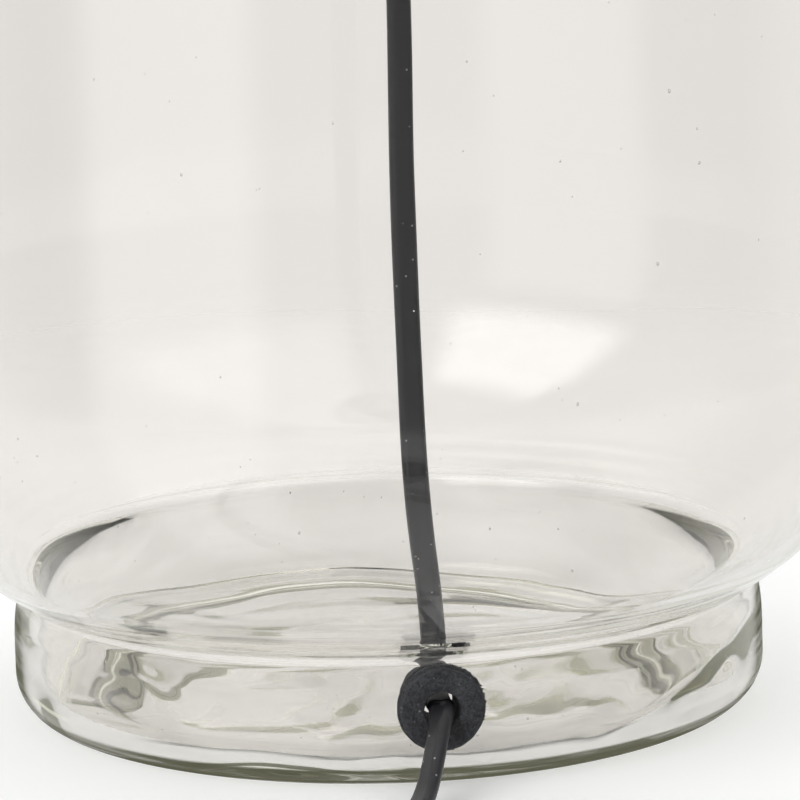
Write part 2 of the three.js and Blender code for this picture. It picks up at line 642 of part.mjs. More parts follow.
const coilLow = LEAD_WIDTH / 2 + FLOOR_GAP;
const coilStart = at(COIL_CENTRE.x, COIL_CENTRE.y - COIL_RADIUS, coilLow);
const coilEnd = at(COIL_CENTRE.x, COIL_CENTRE.y + COIL_RADIUS, coilLow + COIL_LAYER);
const LINK_ROUTE = [
	at(SWITCH_CENTRE.x + SWITCH_ENTRY, SWITCH_CENTRE.y, SWITCH_SPLIT),
	at(SWITCH_CENTRE.x + SWITCH_ENTRY + 9, SWITCH_CENTRE.y, SWITCH_SPLIT - 0.5),
	at(30, SWITCH_CENTRE.y, coilLow + 0.6), at(48, coilStart.y, coilLow),
	at(coilStart.x - LEAD_WIDTH - GAP, coilStart.y, coilLow),
];

const RELIEF_END = PLUG_FACE.x + PLUG_LENGTH + RELIEF_LENGTH;
const plugMiddle = PLUG_THICKNESS / 2;
const TAIL_ROUTE = [
	at(coilEnd.x - LEAD_WIDTH - GAP, coilEnd.y, coilEnd.z), at(50, coilEnd.y - 1, coilEnd.z - 0.8),
	at(37, coilEnd.y - 6, 4.2), at(24, coilEnd.y - 15, 2.6), at(10, PLUG_FACE.y + 10, 3), at(-2, PLUG_FACE.y + 2.5, 5.6),
	at(RELIEF_END + GAP + 4, PLUG_FACE.y, plugMiddle), at(RELIEF_END + GAP, PLUG_FACE.y, plugMiddle),
];

// The coil: in along the lower layer and out along the upper one, at a steady rate, climbing in the
// half turn where it reverses. Each end runs straight for one lead width.
function coilPoint(turn) {
	const half = COIL_LOOPS / 2;
	const radius = COIL_RADIUS - COIL_PITCH * (half - Math.abs(turn - half));
	const climb = THREE.MathUtils.clamp((turn - half) * 2 + 0.5, 0, 1);
	const angle = 2 * Math.PI * turn - Math.PI / 2;
	return at(COIL_CENTRE.x + radius * Math.cos(angle), COIL_CENTRE.y + radius * Math.sin(angle),
		coilLow + COIL_LAYER * climb);
}

function coilPath() {
	const count = Math.round(COIL_LOOPS * COIL_STEPS);
	const turns = Array.from({ length: count + 1 }, (_, i) => coilPoint(i / COIL_STEPS));
	const before = at(coilStart.x - LEAD_WIDTH, coilStart.y, coilStart.z);
	const after = at(coilEnd.x - LEAD_WIDTH, coilEnd.y, coilEnd.z);
	return [before, ...turns, after];
}

// One unbroken tube: an upright oval at each point, square to the path in plan.
function coilGeometry() {
	const path = coilPath();
	const oval = ovalPoints(LEAD_THICKNESS, LEAD_WIDTH, COIL_SIDES);
	const place = [];
	path.forEach((point, i) => {
		const back = path[Math.max(i - 1, 0)];
		const next = path[Math.min(i + 1, path.length - 1)];
		const along = next.clone().sub(back).setZ(0).normalize();
		if (i === 0 || i === path.length - 1) along.set(Math.sign(along.x), 0, 0);
		for (const { x, y } of oval) place.push(point.x - along.y * x, point.y + along.x * x, point.z + y);
	});
	const index = [];
	const sides = COIL_SIDES;
	for (let i = 0; i < path.length - 1; i++) {
		for (let j = 0; j < sides; j++) {
			const a = i * sides + j;
			const b = i * sides + (j + 1) % sides;
			index.push(a, b, a + sides, b, b + sides, a + sides);
		}
	}
	const last = (path.length - 1) * sides;
	for (let j = 1; j < sides - 1; j++) {
		index.push(0, j + 1, j, last, last + j, last + j + 1);
	}
	const geometry = new THREE.BufferGeometry();
	geometry.setAttribute('position', new THREE.Float32BufferAttribute(place, 3));
	geometry.setIndex(index);
	return closed(geometry);
}

// The least gap between the coil's surface and itself, half a turn or more apart, on its own points.
function coilGap() {
	const place = coilGeometry().attributes.position;
	const path = coilPath();
	const ringOf = (i) => Math.floor(i / COIL_SIDES);
	let least = Infinity;
	const a = new THREE.Vector3();
	const b = new THREE.Vector3();
	for (let i = 0; i < place.count; i++) {
		a.fromBufferAttribute(place, i);
		for (let j = i + 1; j < place.count; j++) {
			if (ringOf(j) - ringOf(i) < COIL_STEPS / 2) continue;
			b.fromBufferAttribute(place, j);
			least = Math.min(least, a.distanceTo(b));
		}
	}
	const length = path.slice(1).reduce((sum, point, i) => sum + point.distanceTo(path[i]), 0);
	return { least, length };
}

function coreWire(side) {
	const x = side * TERMINAL_SPACING / 2;
	const start = innerTop + GAP;
	const wireHeight = terminalLow + TERMINAL_HEIGHT / 2;
	return roundWire([
		at(side * LEAD_WIDTH / 4, 0, start), at(side * LEAD_WIDTH / 4, 0.1, start + 1.4),
		at(side * LEAD_WIDTH / 3, 1.6, start + 3),
		at(x * 0.55, TERMINAL_SIZE / 2 + 3, wireHeight + 0.8), at(x * 0.8, TERMINAL_SIZE / 2 + 5, wireHeight + 0.6),
		at(x, TERMINAL_SIZE / 2 + 2.5, wireHeight), at(x, TERMINAL_SIZE / 2 - 2, wireHeight),
	], CORE_RADIUS, 10);
}

// In-line switch, built along X at its own middle.
function stadium(length, width) {
	const shape = new THREE.Shape();
	const radius = width / 2;
	const run = length / 2 - radius;
	shape.moveTo(-run, -radius);
	shape.lineTo(run, -radius);
	shape.absarc(run, 0, radius, -Math.PI / 2, Math.PI / 2);
	shape.lineTo(-run, radius);
	shape.absarc(-run, 0, radius, Math.PI / 2, 3 * Math.PI / 2);
	return shape;
}

// A flat-sided body whose top edge, or bottom edge when low is the rounded side, is bevelled.
function roundedSlab(length, width, low, high, rounding) {
	const shape = stadium(length - 2 * rounding, width - 2 * rounding);
	return new THREE.ExtrudeGeometry(shape, {
		depth: high - low - 2 * rounding, bevelEnabled: true, bevelSize: rounding,
		bevelThickness: rounding, bevelSegments: 2, curveSegments: 6,
	}).translate(0, 0, low + rounding);
}

function leadChannel() {
	const half = SWITCH_LENGTH / 2;
	const width = LEAD_WIDTH / 2 + GAP;
	const height = LEAD_THICKNESS / 2 + GAP;
	return [-1, 1].map((side) => block(
		Math.min(side * (half + 1), side * (SWITCH_CAVITY / 2 - 1)),
		Math.max(side * (half + 1), side * (SWITCH_CAVITY / 2 - 1)),
		-width, width, SWITCH_SPLIT - height, SWITCH_SPLIT + height));
}

const SWITCH_SCREWS = [[-SWITCH_SCREW_X, SWITCH_SCREW_Y], [SWITCH_SCREW_X, -SWITCH_SCREW_Y]];
const cavityHalf = SWITCH_WIDTH / 2 - SWITCH_WALL;
const pivotHeight = SWITCH_HEIGHT - 3.2;

function switchBase() {
	const whole = roundedSlab(SWITCH_LENGTH, SWITCH_WIDTH, 0, SWITCH_HEIGHT, SWITCH_ROUNDING);
	const above = block(-SWITCH_LENGTH, SWITCH_LENGTH, -SWITCH_WIDTH, SWITCH_WIDTH,
		SWITCH_SPLIT - RUNNING_GAP / 2, SWITCH_HEIGHT + 1);
	const cavity = block(-SWITCH_CAVITY / 2, SWITCH_CAVITY / 2, -cavityHalf, cavityHalf,
		SWITCH_WALL, SWITCH_SPLIT + 1);
	const holes = SWITCH_SCREWS.flatMap(([x, y]) => [
		rod(SWITCH_SCREW_RADIUS + RUNNING_GAP, -1, SWITCH_SPLIT + 1, 12).translate(x, y, 0),
		rod(SWITCH_SCREW_HEAD + GAP, -1, 2.2, 16).translate(x, y, 0),
	]);
	return cut(whole, above, cavity, ...leadChannel(), ...holes);
}

function switchCover() {
	const whole = roundedSlab(SWITCH_LENGTH, SWITCH_WIDTH, 0, SWITCH_HEIGHT, SWITCH_ROUNDING);
	const below = block(-SWITCH_LENGTH, SWITCH_LENGTH, -SWITCH_WIDTH, SWITCH_WIDTH, -1,
		SWITCH_SPLIT + RUNNING_GAP / 2);
	const cavity = block(-SWITCH_CAVITY / 2, SWITCH_CAVITY / 2, -cavityHalf, cavityHalf,
		SWITCH_SPLIT - 1, SWITCH_HEIGHT - SWITCH_WALL - 2.4);
	const window = block(-ROCKER_LENGTH / 2 - 0.6, ROCKER_LENGTH / 2 + 0.6,
		-ROCKER_WIDTH / 2 - GAP, ROCKER_WIDTH / 2 + GAP, SWITCH_SPLIT, SWITCH_HEIGHT + 1);
	const pivot = rod(ROCKER_PIN_RADIUS + RUNNING_GAP, -ROCKER_WIDTH / 2 - ROCKER_PIN_LENGTH - GAP,
		ROCKER_WIDTH / 2 + ROCKER_PIN_LENGTH + GAP, 16).rotateX(Math.PI / 2).translate(0, 0, pivotHeight);
	const slot = block(-ROCKER_PIN_RADIUS - RUNNING_GAP, ROCKER_PIN_RADIUS + RUNNING_GAP,
		-ROCKER_WIDTH / 2 - ROCKER_PIN_LENGTH - GAP, ROCKER_WIDTH / 2 + ROCKER_PIN_LENGTH + GAP,
		SWITCH_SPLIT, pivotHeight);
	const holes = SWITCH_SCREWS.map(([x, y]) =>
		rod(SWITCH_SCREW_RADIUS + RUNNING_GAP, SWITCH_SPLIT - 1, SWITCH_SCREW_DEPTH + GAP + 2, 12).translate(x, y, 0));
	return cut(whole, below, cavity, window, pivot, slot, ...leadChannel(), ...holes);
}

// The rocker about its own pivot at the origin, dished along the top, with a foot for its contact.
function rockerShape() {
	const half = ROCKER_LENGTH / 2;
	const top = SWITCH_HEIGHT - pivotHeight + ROCKER_PROUD;
	const shape = new THREE.Shape();
	shape.moveTo(-half, top - ROCKER_HEIGHT + 2.2);
	shape.lineTo(-half + 0.4, top);
	shape.quadraticCurveTo(0, top - 2 * ROCKER_DIP, half - 0.4, top);
	shape.lineTo(half, top - ROCKER_HEIGHT + 2.2);
	shape.lineTo(3, top - ROCKER_HEIGHT);
	shape.lineTo(-3, top - ROCKER_HEIGHT);
	return shape;
}

function switchRocker() {
	const body = new THREE.ExtrudeGeometry(rockerShape(), { depth: ROCKER_WIDTH, bevelEnabled: false, curveSegments: 8 })
		.rotateX(Math.PI / 2).translate(0, ROCKER_WIDTH / 2, 0);
	const pins = rod(ROCKER_PIN_RADIUS, -ROCKER_WIDTH / 2 - ROCKER_PIN_LENGTH,
		ROCKER_WIDTH / 2 + ROCKER_PIN_LENGTH, 16).rotateX(Math.PI / 2);
	return join(body, pins);
}

// The moving contact lies under the rocker. Its middle bears on one blade, and its tip meets the other
// when the rocker is pressed over.
const contactTop = SWITCH_HEIGHT - pivotHeight + ROCKER_PROUD - ROCKER_HEIGHT - GAP;
const contactUnder = contactTop - BLADE_THICKNESS;
const contactTip = contactUnder - CONTACT_TIP_DROP;

function rockerContact() {
	const t = BLADE_THICKNESS;
	return bentStrip([
		[-3, contactTop], [CONTACT_REACH, contactTop], [CONTACT_REACH, contactTip],
		[CONTACT_REACH - t, contactTip], [CONTACT_REACH - t, contactUnder], [-3, contactUnder],
	], BLADE_WIDTH - 1);
}

// Where a point of the rocker lies, from the pivot, once the rocker is pressed over.
function pressed(x, z) {
	const cos = Math.cos(ROCKER_TILT);
	const sin = Math.sin(ROCKER_TILT);
	return { x: x * cos + z * sin, z: z * cos - x * sin };
}

const bladeLow = SWITCH_WALL + GAP;
const bladeEnd = SWITCH_CAVITY / 2 - 2;

function bladeIn() {
	const half = BLADE_THICKNESS / 2;
	const top = pivotHeight + contactUnder - GAP;
	return bentStrip([
		[-half, top], [half, top], [half, bladeLow], [-bladeEnd, bladeLow],
		[-bladeEnd, bladeLow + BLADE_THICKNESS], [-half, bladeLow + BLADE_THICKNESS],
	], BLADE_WIDTH);
}

function bladeOut() {
	const t = BLADE_THICKNESS;
	const tip = pressed(CONTACT_REACH, contactTip);
	const top = pivotHeight + tip.z - GAP;
	const near = tip.x - 2;
	return bentStrip([
		[near, top], [near + 4, top], [near + 4, top - t], [near + t, top - t], [near + t, bladeLow + t],
		[bladeEnd, bladeLow + t], [bladeEnd, bladeLow], [near, bladeLow],
	], BLADE_WIDTH);
}

function throughCore() {
	const end = SWITCH_CAVITY / 2 - 1.5;
	const y = cavityHalf - CORE_RADIUS - 2 * GAP;
	const z = SWITCH_WALL + CORE_RADIUS + 2 * GAP;
	return roundWire([
		at(-end, 3.5, SWITCH_SPLIT), at(-end + 4, 5, SWITCH_SPLIT - 1.5), at(-end + 9, y, z), at(0, y, z),
		at(end - 9, y, z), at(end - 4, 5, SWITCH_SPLIT - 1.5), at(end, 3.5, SWITCH_SPLIT),
	], CORE_RADIUS, 12);
}

function switchScrew([x, y]) {
	const shank = rod(SWITCH_SCREW_RADIUS, 1, SWITCH_SCREW_DEPTH, 12);
	const head = rod(SWITCH_SCREW_HEAD, 0.4, 2.2 - GAP, 16);
	return join(shank, head).translate(x, y, 0);
}

// Plug, lying flat with its pins towards -X. Built with its face at the origin.
function plugOutline() {
	const inset = PLUG_ROUNDING;
	const half = PLUG_WIDTH / 2 - inset;
	const tail = PLUG_TAIL_WIDTH / 2 - inset;
	const shape = new THREE.Shape();
	shape.moveTo(inset, -half);
	shape.lineTo(inset, half);
	shape.quadraticCurveTo(PLUG_LENGTH * 0.5, half, PLUG_LENGTH * 0.72, tail + 3);
	shape.lineTo(PLUG_LENGTH - inset, tail);
	shape.lineTo(PLUG_LENGTH - inset, -tail);
	shape.lineTo(PLUG_LENGTH * 0.72, -tail - 3);
	shape.quadraticCurveTo(PLUG_LENGTH * 0.5, -half, inset, -half);
	return shape;
}

function plugBody() {
	const body = new THREE.ExtrudeGeometry(plugOutline(), {
		depth: PLUG_THICKNESS - 2 * PLUG_ROUNDING, bevelEnabled: true, bevelSize: PLUG_ROUNDING,
		bevelThickness: PLUG_ROUNDING, bevelSegments: 2, curveSegments: 6,
	}).translate(0, 0, PLUG_ROUNDING);
	const sleeves = [-1, 1].map((side) => rod(PIN_SLEEVE_RADIUS, -PIN_SLEEVE_LENGTH, 2, 16)
		.rotateY(Math.PI / 2).translate(0, side * PIN_SPACING / 2, plugMiddle));
	const boreRadius = PIN_SHANK_RADIUS + RUNNING_GAP;
	const bores = [-1, 1].map((side) => rod(boreRadius, -PIN_SLEEVE_LENGTH - 1, PIN_SEAT_DEPTH + GAP, 16)
		.rotateY(Math.PI / 2).translate(0, side * PIN_SPACING / 2, plugMiddle));
	return cut(join(body, ...sleeves), ...bores);
}

function plugPin(side) {
	const tip = turned([
		[0, -PIN_LENGTH], [PIN_RADIUS - 0.9, -PIN_LENGTH + 0.2], [PIN_RADIUS, -PIN_LENGTH + 1.6],
		[PIN_RADIUS, -PIN_SLEEVE_LENGTH - RUNNING_GAP], [PIN_SHANK_RADIUS, -PIN_SLEEVE_LENGTH - RUNNING_GAP],
		[PIN_SHANK_RADIUS, PIN_SEAT_DEPTH], [0, PIN_SEAT_DEPTH],
	], 16);
	return tip.rotateY(Math.PI / 2).translate(0, side * PIN_SPACING / 2, plugMiddle);
}

// A tapered, ribbed sleeve with the lead's flat end against its narrow end.
function plugRelief() {
	const start = PLUG_LENGTH + GAP;
	const end = PLUG_LENGTH + RELIEF_LENGTH;
	const outline = [[0, start], [RELIEF_RADIUS, start]];
	const step = (end - start - 3) / RELIEF_RIBS;
	for (let i = 0; i < RELIEF_RIBS; i++) {
		const radius = THREE.MathUtils.lerp(RELIEF_RADIUS, RELIEF_END_RADIUS, (i + 1) / RELIEF_RIBS);
		const rib = start + 2 + i * step;
		outline.push([radius + 0.3, rib], [radius - 0.7, rib + 0.4], [radius - 0.7, rib + step / 2]);
		outline.push([radius + 0.2, rib + step / 2 + 0.4]);
	}
	outline.push([RELIEF_END_RADIUS, end], [0, end]);
	return turned(outline, 12).rotateY(Math.PI / 2).translate(0, 0, plugMiddle);
}

const lamp = new THREE.Group();

function add(name, geometry, material, group = lamp) {
	const mesh = new THREE.Mesh(closed(geometry), material);
	mesh.name = name;
	group.add(mesh);
	return mesh;
}

add('glass_body', glassBody(), CLEAR_GLASS);
add('cord_grommet', cordGrommet(), BLACK_RUBBER);
add('inner_lead', lead(INNER_ROUTE, 44, hangingSide), BLACK_PVC);

add('neck_bung', washer(tubeHole, NECK_BORE - GAP, bungLow, bungTop), BLACK_RUBBER);
add('bung_washer', washer(tubeHole, WASHER_RADIUS, washerLow, washerLow + WASHER_THICKNESS), ZINC_STEEL);
add('bung_nut', hexNut(NUT_FLATS, TUBE_RADIUS + RUNNING_GAP, nutLow, nutLow + NUT_HEIGHT), BRASS);
add('threaded_tube', washer(TUBE_BORE, TUBE_RADIUS, tubeLow, tubeTop, 24), ZINC_STEEL);
add('tube_bushing', tubeBushing(), BLACK_PLASTIC);
add('neck_seal', washer(NECK_BORE + 1, NECK_RADIUS + 2, sealLow, sealLow + SEAL_THICKNESS), BLACK_RUBBER);
add('neck_cap', neckCap(), BLACK_METAL);
add('cap_nut', hexNut(NUT_FLATS, TUBE_RADIUS + RUNNING_GAP, stemLow, stemLow + NUT_HEIGHT), BRASS);
add('stem_sleeve', stemSleeve(), BLACK_METAL);

add('holder_cap', holderCap(), BLACK_PLASTIC);
add('cap_lock_screw', lockScrew(), ZINC_STEEL);
add('cord_grip', cordGrip(), BLACK_PLASTIC);
add('grip_screw', gripScrew(), ZINC_STEEL);
add('holder_core', holderCore(), CERAMIC);
add('holder_skirt', holderSkirt(), BLACK_PLASTIC);
add('thread_shell', threadShell(), NICKEL);
add('centre_contact', centreContact(), BRASS);
add('side_contact', sideContact(), BRASS);
add('shade_ring', shadeRing(), BLACK_PLASTIC);
for (const [side, name] of [[-1, 'live'], [1, 'neutral']]) {
	add(`${name}_terminal`, terminal(side), BRASS);
	add(`${name}_terminal_screw`, terminalScrew(side), NICKEL);
	add(`${name}_rivet`, contactRivet(side), BRASS);
	add(`${name}_core`, coreWire(side), side < 0 ? BROWN_CORE : BLUE_CORE);
}

add('outer_lead', lead(OUTER_ROUTE, 44), BLACK_PVC);
add('lead_link', lead(LINK_ROUTE, 12, levelSide, 0, Math.PI / 2), BLACK_PVC);
add('lead_coil', coilGeometry(), BLACK_PVC);
add('lead_tail', lead(TAIL_ROUTE, 16, levelSide, Math.PI / 2, 0), BLACK_PVC);

const lineSwitch = new THREE.Group();
lineSwitch.position.set(SWITCH_CENTRE.x, SWITCH_CENTRE.y, 0);
lamp.add(lineSwitch);
add('switch_base', switchBase(), BLACK_PLASTIC, lineSwitch);
add('switch_cover', switchCover(), BLACK_PLASTIC, lineSwitch);
add('blade_in', bladeIn(), BRASS, lineSwitch);
add('blade_out', bladeOut(), BRASS, lineSwitch);
add('through_core', throughCore(), BLUE_CORE, lineSwitch);
add('switch_screw_left', switchScrew(SWITCH_SCREWS[0]), ZINC_STEEL, lineSwitch);
add('switch_screw_right', switchScrew(SWITCH_SCREWS[1]), ZINC_STEEL, lineSwitch);

const rocker = new THREE.Group();
rocker.position.z = pivotHeight;
rocker.rotation.y = -ROCKER_TILT;
lineSwitch.add(rocker);
add('switch_rocker', switchRocker(), BLACK_PLASTIC, rocker);
add('rocker_contact', rockerContact(), BRASS, rocker);

const plug = new THREE.Group();
plug.position.set(PLUG_FACE.x, PLUG_FACE.y, 0);
lamp.add(plug);
add('plug_body', plugBody(), BLACK_PLASTIC, plug);
add('plug_relief', plugRelief(), BLACK_RUBBER, plug);
add('plug_pin_left', plugPin(-1), NICKEL, plug);
add('plug_pin_right', plugPin(1), NICKEL, plug);

const { least, length } = coilGap();
console.log(`coil: least gap to itself ${least.toFixed(2)} mm, length ${length.toFixed(0)} mm`);
console.log(`shade ring: rest at ${(seatTop + GAP).toFixed(2)} mm, travel ${RING_TRAVEL} mm`);

export default lamp;
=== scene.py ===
import math

import bmesh
import bpy
import numpy as np
from bpy.props import FloatProperty, FloatVectorProperty, IntProperty, PointerProperty
from mathutils import Matrix, Vector


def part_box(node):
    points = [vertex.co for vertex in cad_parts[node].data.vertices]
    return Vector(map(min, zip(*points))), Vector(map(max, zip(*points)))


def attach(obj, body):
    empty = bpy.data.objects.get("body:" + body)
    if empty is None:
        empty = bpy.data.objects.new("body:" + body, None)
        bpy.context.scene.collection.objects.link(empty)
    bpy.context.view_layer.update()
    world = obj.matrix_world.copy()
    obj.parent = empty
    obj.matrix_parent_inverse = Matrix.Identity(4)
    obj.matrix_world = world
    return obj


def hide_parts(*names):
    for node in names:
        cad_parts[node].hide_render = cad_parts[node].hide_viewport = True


bl_info = {
    "name": "Glass Table Lamp",
    "version": (1, 0, 0),
    "blender": (4, 5, 0),
    "location": "View3D > Sidebar > Lamp",
    "description": "A clear blown-glass table lamp with its lead, in-line switch and plug",
    "category": "Add Mesh",
}

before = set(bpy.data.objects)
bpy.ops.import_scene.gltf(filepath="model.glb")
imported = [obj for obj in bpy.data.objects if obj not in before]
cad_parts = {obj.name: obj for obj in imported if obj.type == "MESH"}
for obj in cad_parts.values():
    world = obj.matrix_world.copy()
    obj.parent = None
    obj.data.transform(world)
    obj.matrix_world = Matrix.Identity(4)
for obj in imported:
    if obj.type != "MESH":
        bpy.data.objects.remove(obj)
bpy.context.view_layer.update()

MM = 0.001
FULL_TURN = 2 * math.pi
QUARTER = math.pi / 2
SHARP_ANGLE = math.radians(40)
# Points nearer than this are one point: in a new mesh, and in a merged copy of a CAD node's mesh
SAME_POINT = 1e-7
SAME_CAD_POINT = 2e-6


def ends_of(node):
    """The heights of a node's lowest and highest points, and its radius about the lamp's axis."""
    low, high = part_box(node)
    return low.z, high.z, high.x


# Settings that a user would change

def length(title, text, value):
    return FloatProperty(name=title, description=text, default=value, min=0, unit="LENGTH", precision=4)


def turn(title, text, degrees):
    return FloatProperty(name=title, description=text, default=math.radians(degrees), subtype="ANGLE")


def share(title, text, value, highest=1.0):
    return FloatProperty(name=title, description=text, default=value, min=0, max=highest, subtype="FACTOR")


def colour(title, text, value):
    return FloatVectorProperty(name=title, description=text, default=value, min=0, max=1, size=3, subtype="COLOR")


class GlassSettings(bpy.types.PropertyGroup):
    foot_radius: length("Foot radius", "Outer radius of the foot", 0.085)
    foot_height: length("Foot height", "From the table to the waist", 0.0292)
    edge_radius: length("Edge radius", "Rounding of the foot's bottom edge", 0.009)
    foot_wall: length("Foot wall", "Thickness of the foot's side", 0.006)
    floor_thickness: length("Floor thickness", "Thickness of the foot's floor at its edge", 0.0044)
    floor_dome: length("Floor dome", "Rise of the floor towards its middle", 0.0006)
    kick: length("Kick", "Depth of the hollow under the foot", 0.0024)
    rest_width: length("Rest width", "Width of the flat ring that the lamp stands on", 0.013)
    inner_corner: length("Inner corner", "Rounding between the floor and the foot's side", 0.0062)
    waist_step: length("Waist step", "How far the waist lies inside the foot", 0.0016)
    ring_depth: length("Ring depth", "Depth of the tooled rings above the waist", 0.00008)
    ring_pitch: length("Ring pitch", "Height from one tooled ring to the next", 0.003)
    ring_span: turn("Ring span", "Part of the lower shoulder's arc that has the rings", 14.5)
    groove_radius: length("Groove radius", "Rounding of the groove at the waist", 0.0014)
    lip_radius: length("Lip radius", "Rounding of the body's edge above the waist", 0.0035)
    lip_angle: turn("Lip angle", "Where the groove runs into the lower shoulder", 29)
    body_wall: length("Body wall", "Thickness of the body's wall", 0.004)
    shoulder_start: length("Shoulder start", "Height at which the upper shoulder begins", 0.300)
    shoulder_radius: length("Shoulder radius", "Radius of the upper shoulder", 0.072)
    shoulder_angle: turn("Shoulder angle", "Where the shoulder runs into the neck", 75)
    neck_radius: length("Neck radius", "Outer radius of the neck", 0.029)
    neck_bore: length("Neck bore", "Inner radius of the neck", 0.023)
    neck_bead: length("Neck bead", "How far the bead at the top stands out", 0.003)
    bead_height: length("Bead height", "Height of the bead at the top", 0.008)
    body_ripple: length("Body ripple", "Depth of the waves in the blown body", 0.00006)
    foot_ripple: length("Foot ripple", "Depth of the waves inside the foot", 0.0006)
    floor_ripple: length("Floor ripple", "Depth of the swirls in the foot's floor", 0.0003)
    seeds: IntProperty(name="Seeds", description="How many air bubbles the wall holds", default=400, min=0)
    seed_radius: length("Seed radius", "Radius of a common bubble", 0.00012)
    tint: colour("Tint", "Colour that light keeps through thick glass", (0.53, 0.53, 0.415))
    tint_depth: FloatProperty(name="Tint depth", description="How fast thick glass darkens", default=19.0, min=0)
    cast: colour("Cast", "Colour that light keeps through one thin wall", (1.0, 0.982, 0.970))
    trapped: colour("Trapped light", "What is left of light that ran round in the wall", (0.93, 0.93, 0.91))
    # Painted shade: a dark colour that camera rays see in place of the glass, in the rounding under the foot and
    # along the foot's grazing side edges.
    painted_base_shade: colour("Base light", "Dim light that shows in the rounding under the foot", (0.105, 0.105, 0.070))
    base_trapped: colour("Trapped below", "What is left of light that ran round in the base", (0.36, 0.36, 0.29))


class LeadSettings(bpy.types.PropertyGroup):
    width: length("Width", "Width of the flat twin lead", 0.0058)
    thickness: length("Thickness", "Thickness of the flat twin lead", 0.0036)
    groove: length("Groove", "Depth of the groove between the two cores", 0.0003)
    exit_twist: turn("Exit twist", "How far the lead is twisted where it leaves the grommet", 38)
    coil_radius: length("Coil radius", "Radius of the outer turns", 0.040)
    coil_loops: FloatProperty(name="Coil loops", description="Turns in the coil", default=6.5, min=1)
    colour: colour("Colour", "Colour of the lead", (0.017, 0.017, 0.020))
    dust: share("Dust", "How much pale dust lies on the lead and the grommet", 0.6)


class FittingSettings(bpy.types.PropertyGroup):
    plastic: colour("Plastic", "Colour of the holder, the switch and the plug", (0.016, 0.016, 0.017))
    paint: colour("Paint", "Colour of the neck cap and the stem", (0.014, 0.014, 0.015))
    rubber: colour("Rubber", "Colour of the grommet, the bung and the seal", (0.036, 0.037, 0.041))
    thread_pitch: length("Thread pitch", "Pitch of the screwed tube's thread", 0.001)
    socket_pitch: length("Socket pitch", "Pitch of the lamp thread", 0.00362)
    ring_ribs: IntProperty(name="Ring ribs", description="Grip ribs round the shade ring", default=36, min=0)


class StageSettings(bpy.types.PropertyGroup):
    tone: share("Backdrop tone", "Brightness of the backdrop", 0.945)
    floor_lift: share("Floor lift", "How much the floor glows towards the camera, to match the backdrop", 0.12)
    azimuth: turn("Camera azimuth", "Side from which the lamp is seen", -7.5)
    elevation: turn("Camera elevation", "Height from which the lamp is seen", 12.87)
    roll: turn("Camera roll", "Lean of the lamp in the picture", 1.62)
    distance: length("Camera distance", "From the camera to the foot", 2.15)
    dimness: share("Room tone", "Brightness of the room on the camera's side", 0.26)


SETTINGS = {
    "lamp_glass": GlassSettings,
    "lamp_lead": LeadSettings,
    "lamp_fittings": FittingSettings,
    "lamp_stage": StageSettings,
}


def circle(steps):
    """Angles at equal steps once round."""
    return np.linspace(0, FULL_TURN, steps, endpoint=False)


def round_axis(radius, angle, height):
    """Points round an axis: the radius times cosine and sine of the angle, and the height."""
    return np.stack([radius * np.cos(angle), radius * np.sin(angle), height], axis=-1)


def smooth(value, low, high):
    """0 below low, 1 above high, and a smooth step in between."""
    t = np.clip((value - low) / (high - low), 0, 1)
    return t * t * (3 - 2 * t)


# Outlines, as arrays of radius and height

def arc(centre, radius, start, end, steps):
    """Points on a circle: its centre plus the radius times cosine and sine of the angles in between."""
    angle = np.linspace(start, end, steps + 1)[:, None]
    return np.array(centre) + radius * np.hstack([np.cos(angle), np.sin(angle)])


def straight(start, end, steps=1):
    """Points at equal steps on a line."""
    t = np.linspace(0, 1, steps + 1)[:, None]
    return (1 - t) * np.array(start) + t * np.array(end)


def curved(corners, steps):
    """A Bezier curve: its corners weighted by the Bernstein polynomials of the step."""
    t = np.linspace(0, 1, steps + 1)[:, None]
    last = len(corners) - 1
    return sum(
        math.comb(last, k) * t**k * (1 - t) ** (last - k) * np.array(corner)
        for k, corner in enumerate(corners)
    )


def chained(*runs):
    """Runs of points end to end, without the points that two runs share."""
    points = np.vstack(runs)
    step = np.linalg.norm(np.diff(points, axis=0), axis=1)
    return points[np.concatenate([[True], step > SAME_POINT])]


def rounded(corners, closed=True, steps=4):
    """An outline through corners of radius, height and fillet. Each corner becomes a curve that starts and
    ends one fillet away from it along its two sides, and has the corner as its control point."""
    place = np.array([corner[:2] for corner in corners], float)
    runs = []
    for i, (radius, height, fillet) in enumerate(corners):
        here = place[i]
        if not fillet or (not closed and i in (0, len(corners) - 1)):
            runs.append(here[None])
            continue
        back = place[i - 1] - here
        ahead = place[(i + 1) % len(corners)] - here
        back_length, ahead_length = np.linalg.norm(back), np.linalg.norm(ahead)
        reach = min(fillet, 0.48 * back_length, 0.48 * ahead_length)
        start = here + back / back_length * reach
        end = here + ahead / ahead_length * reach
        runs.append(curved([start, here, end], steps))
    return np.vstack(runs)


# Surfaces, as grids of points

def turned(outline, segments=96, shape=None):
    """A surface of revolution about the lamp's axis: each outline point's radius times cosine and sine of
    the angle. shape(radius, height, angle), where given, says the radius instead."""
    radius, height, angle = np.broadcast_arrays(outline[:, :1], outline[:, 1:], circle(segments)[None])
    if shape is not None:
        radius = shape(radius, height, angle)
    return round_axis(radius, angle, height)


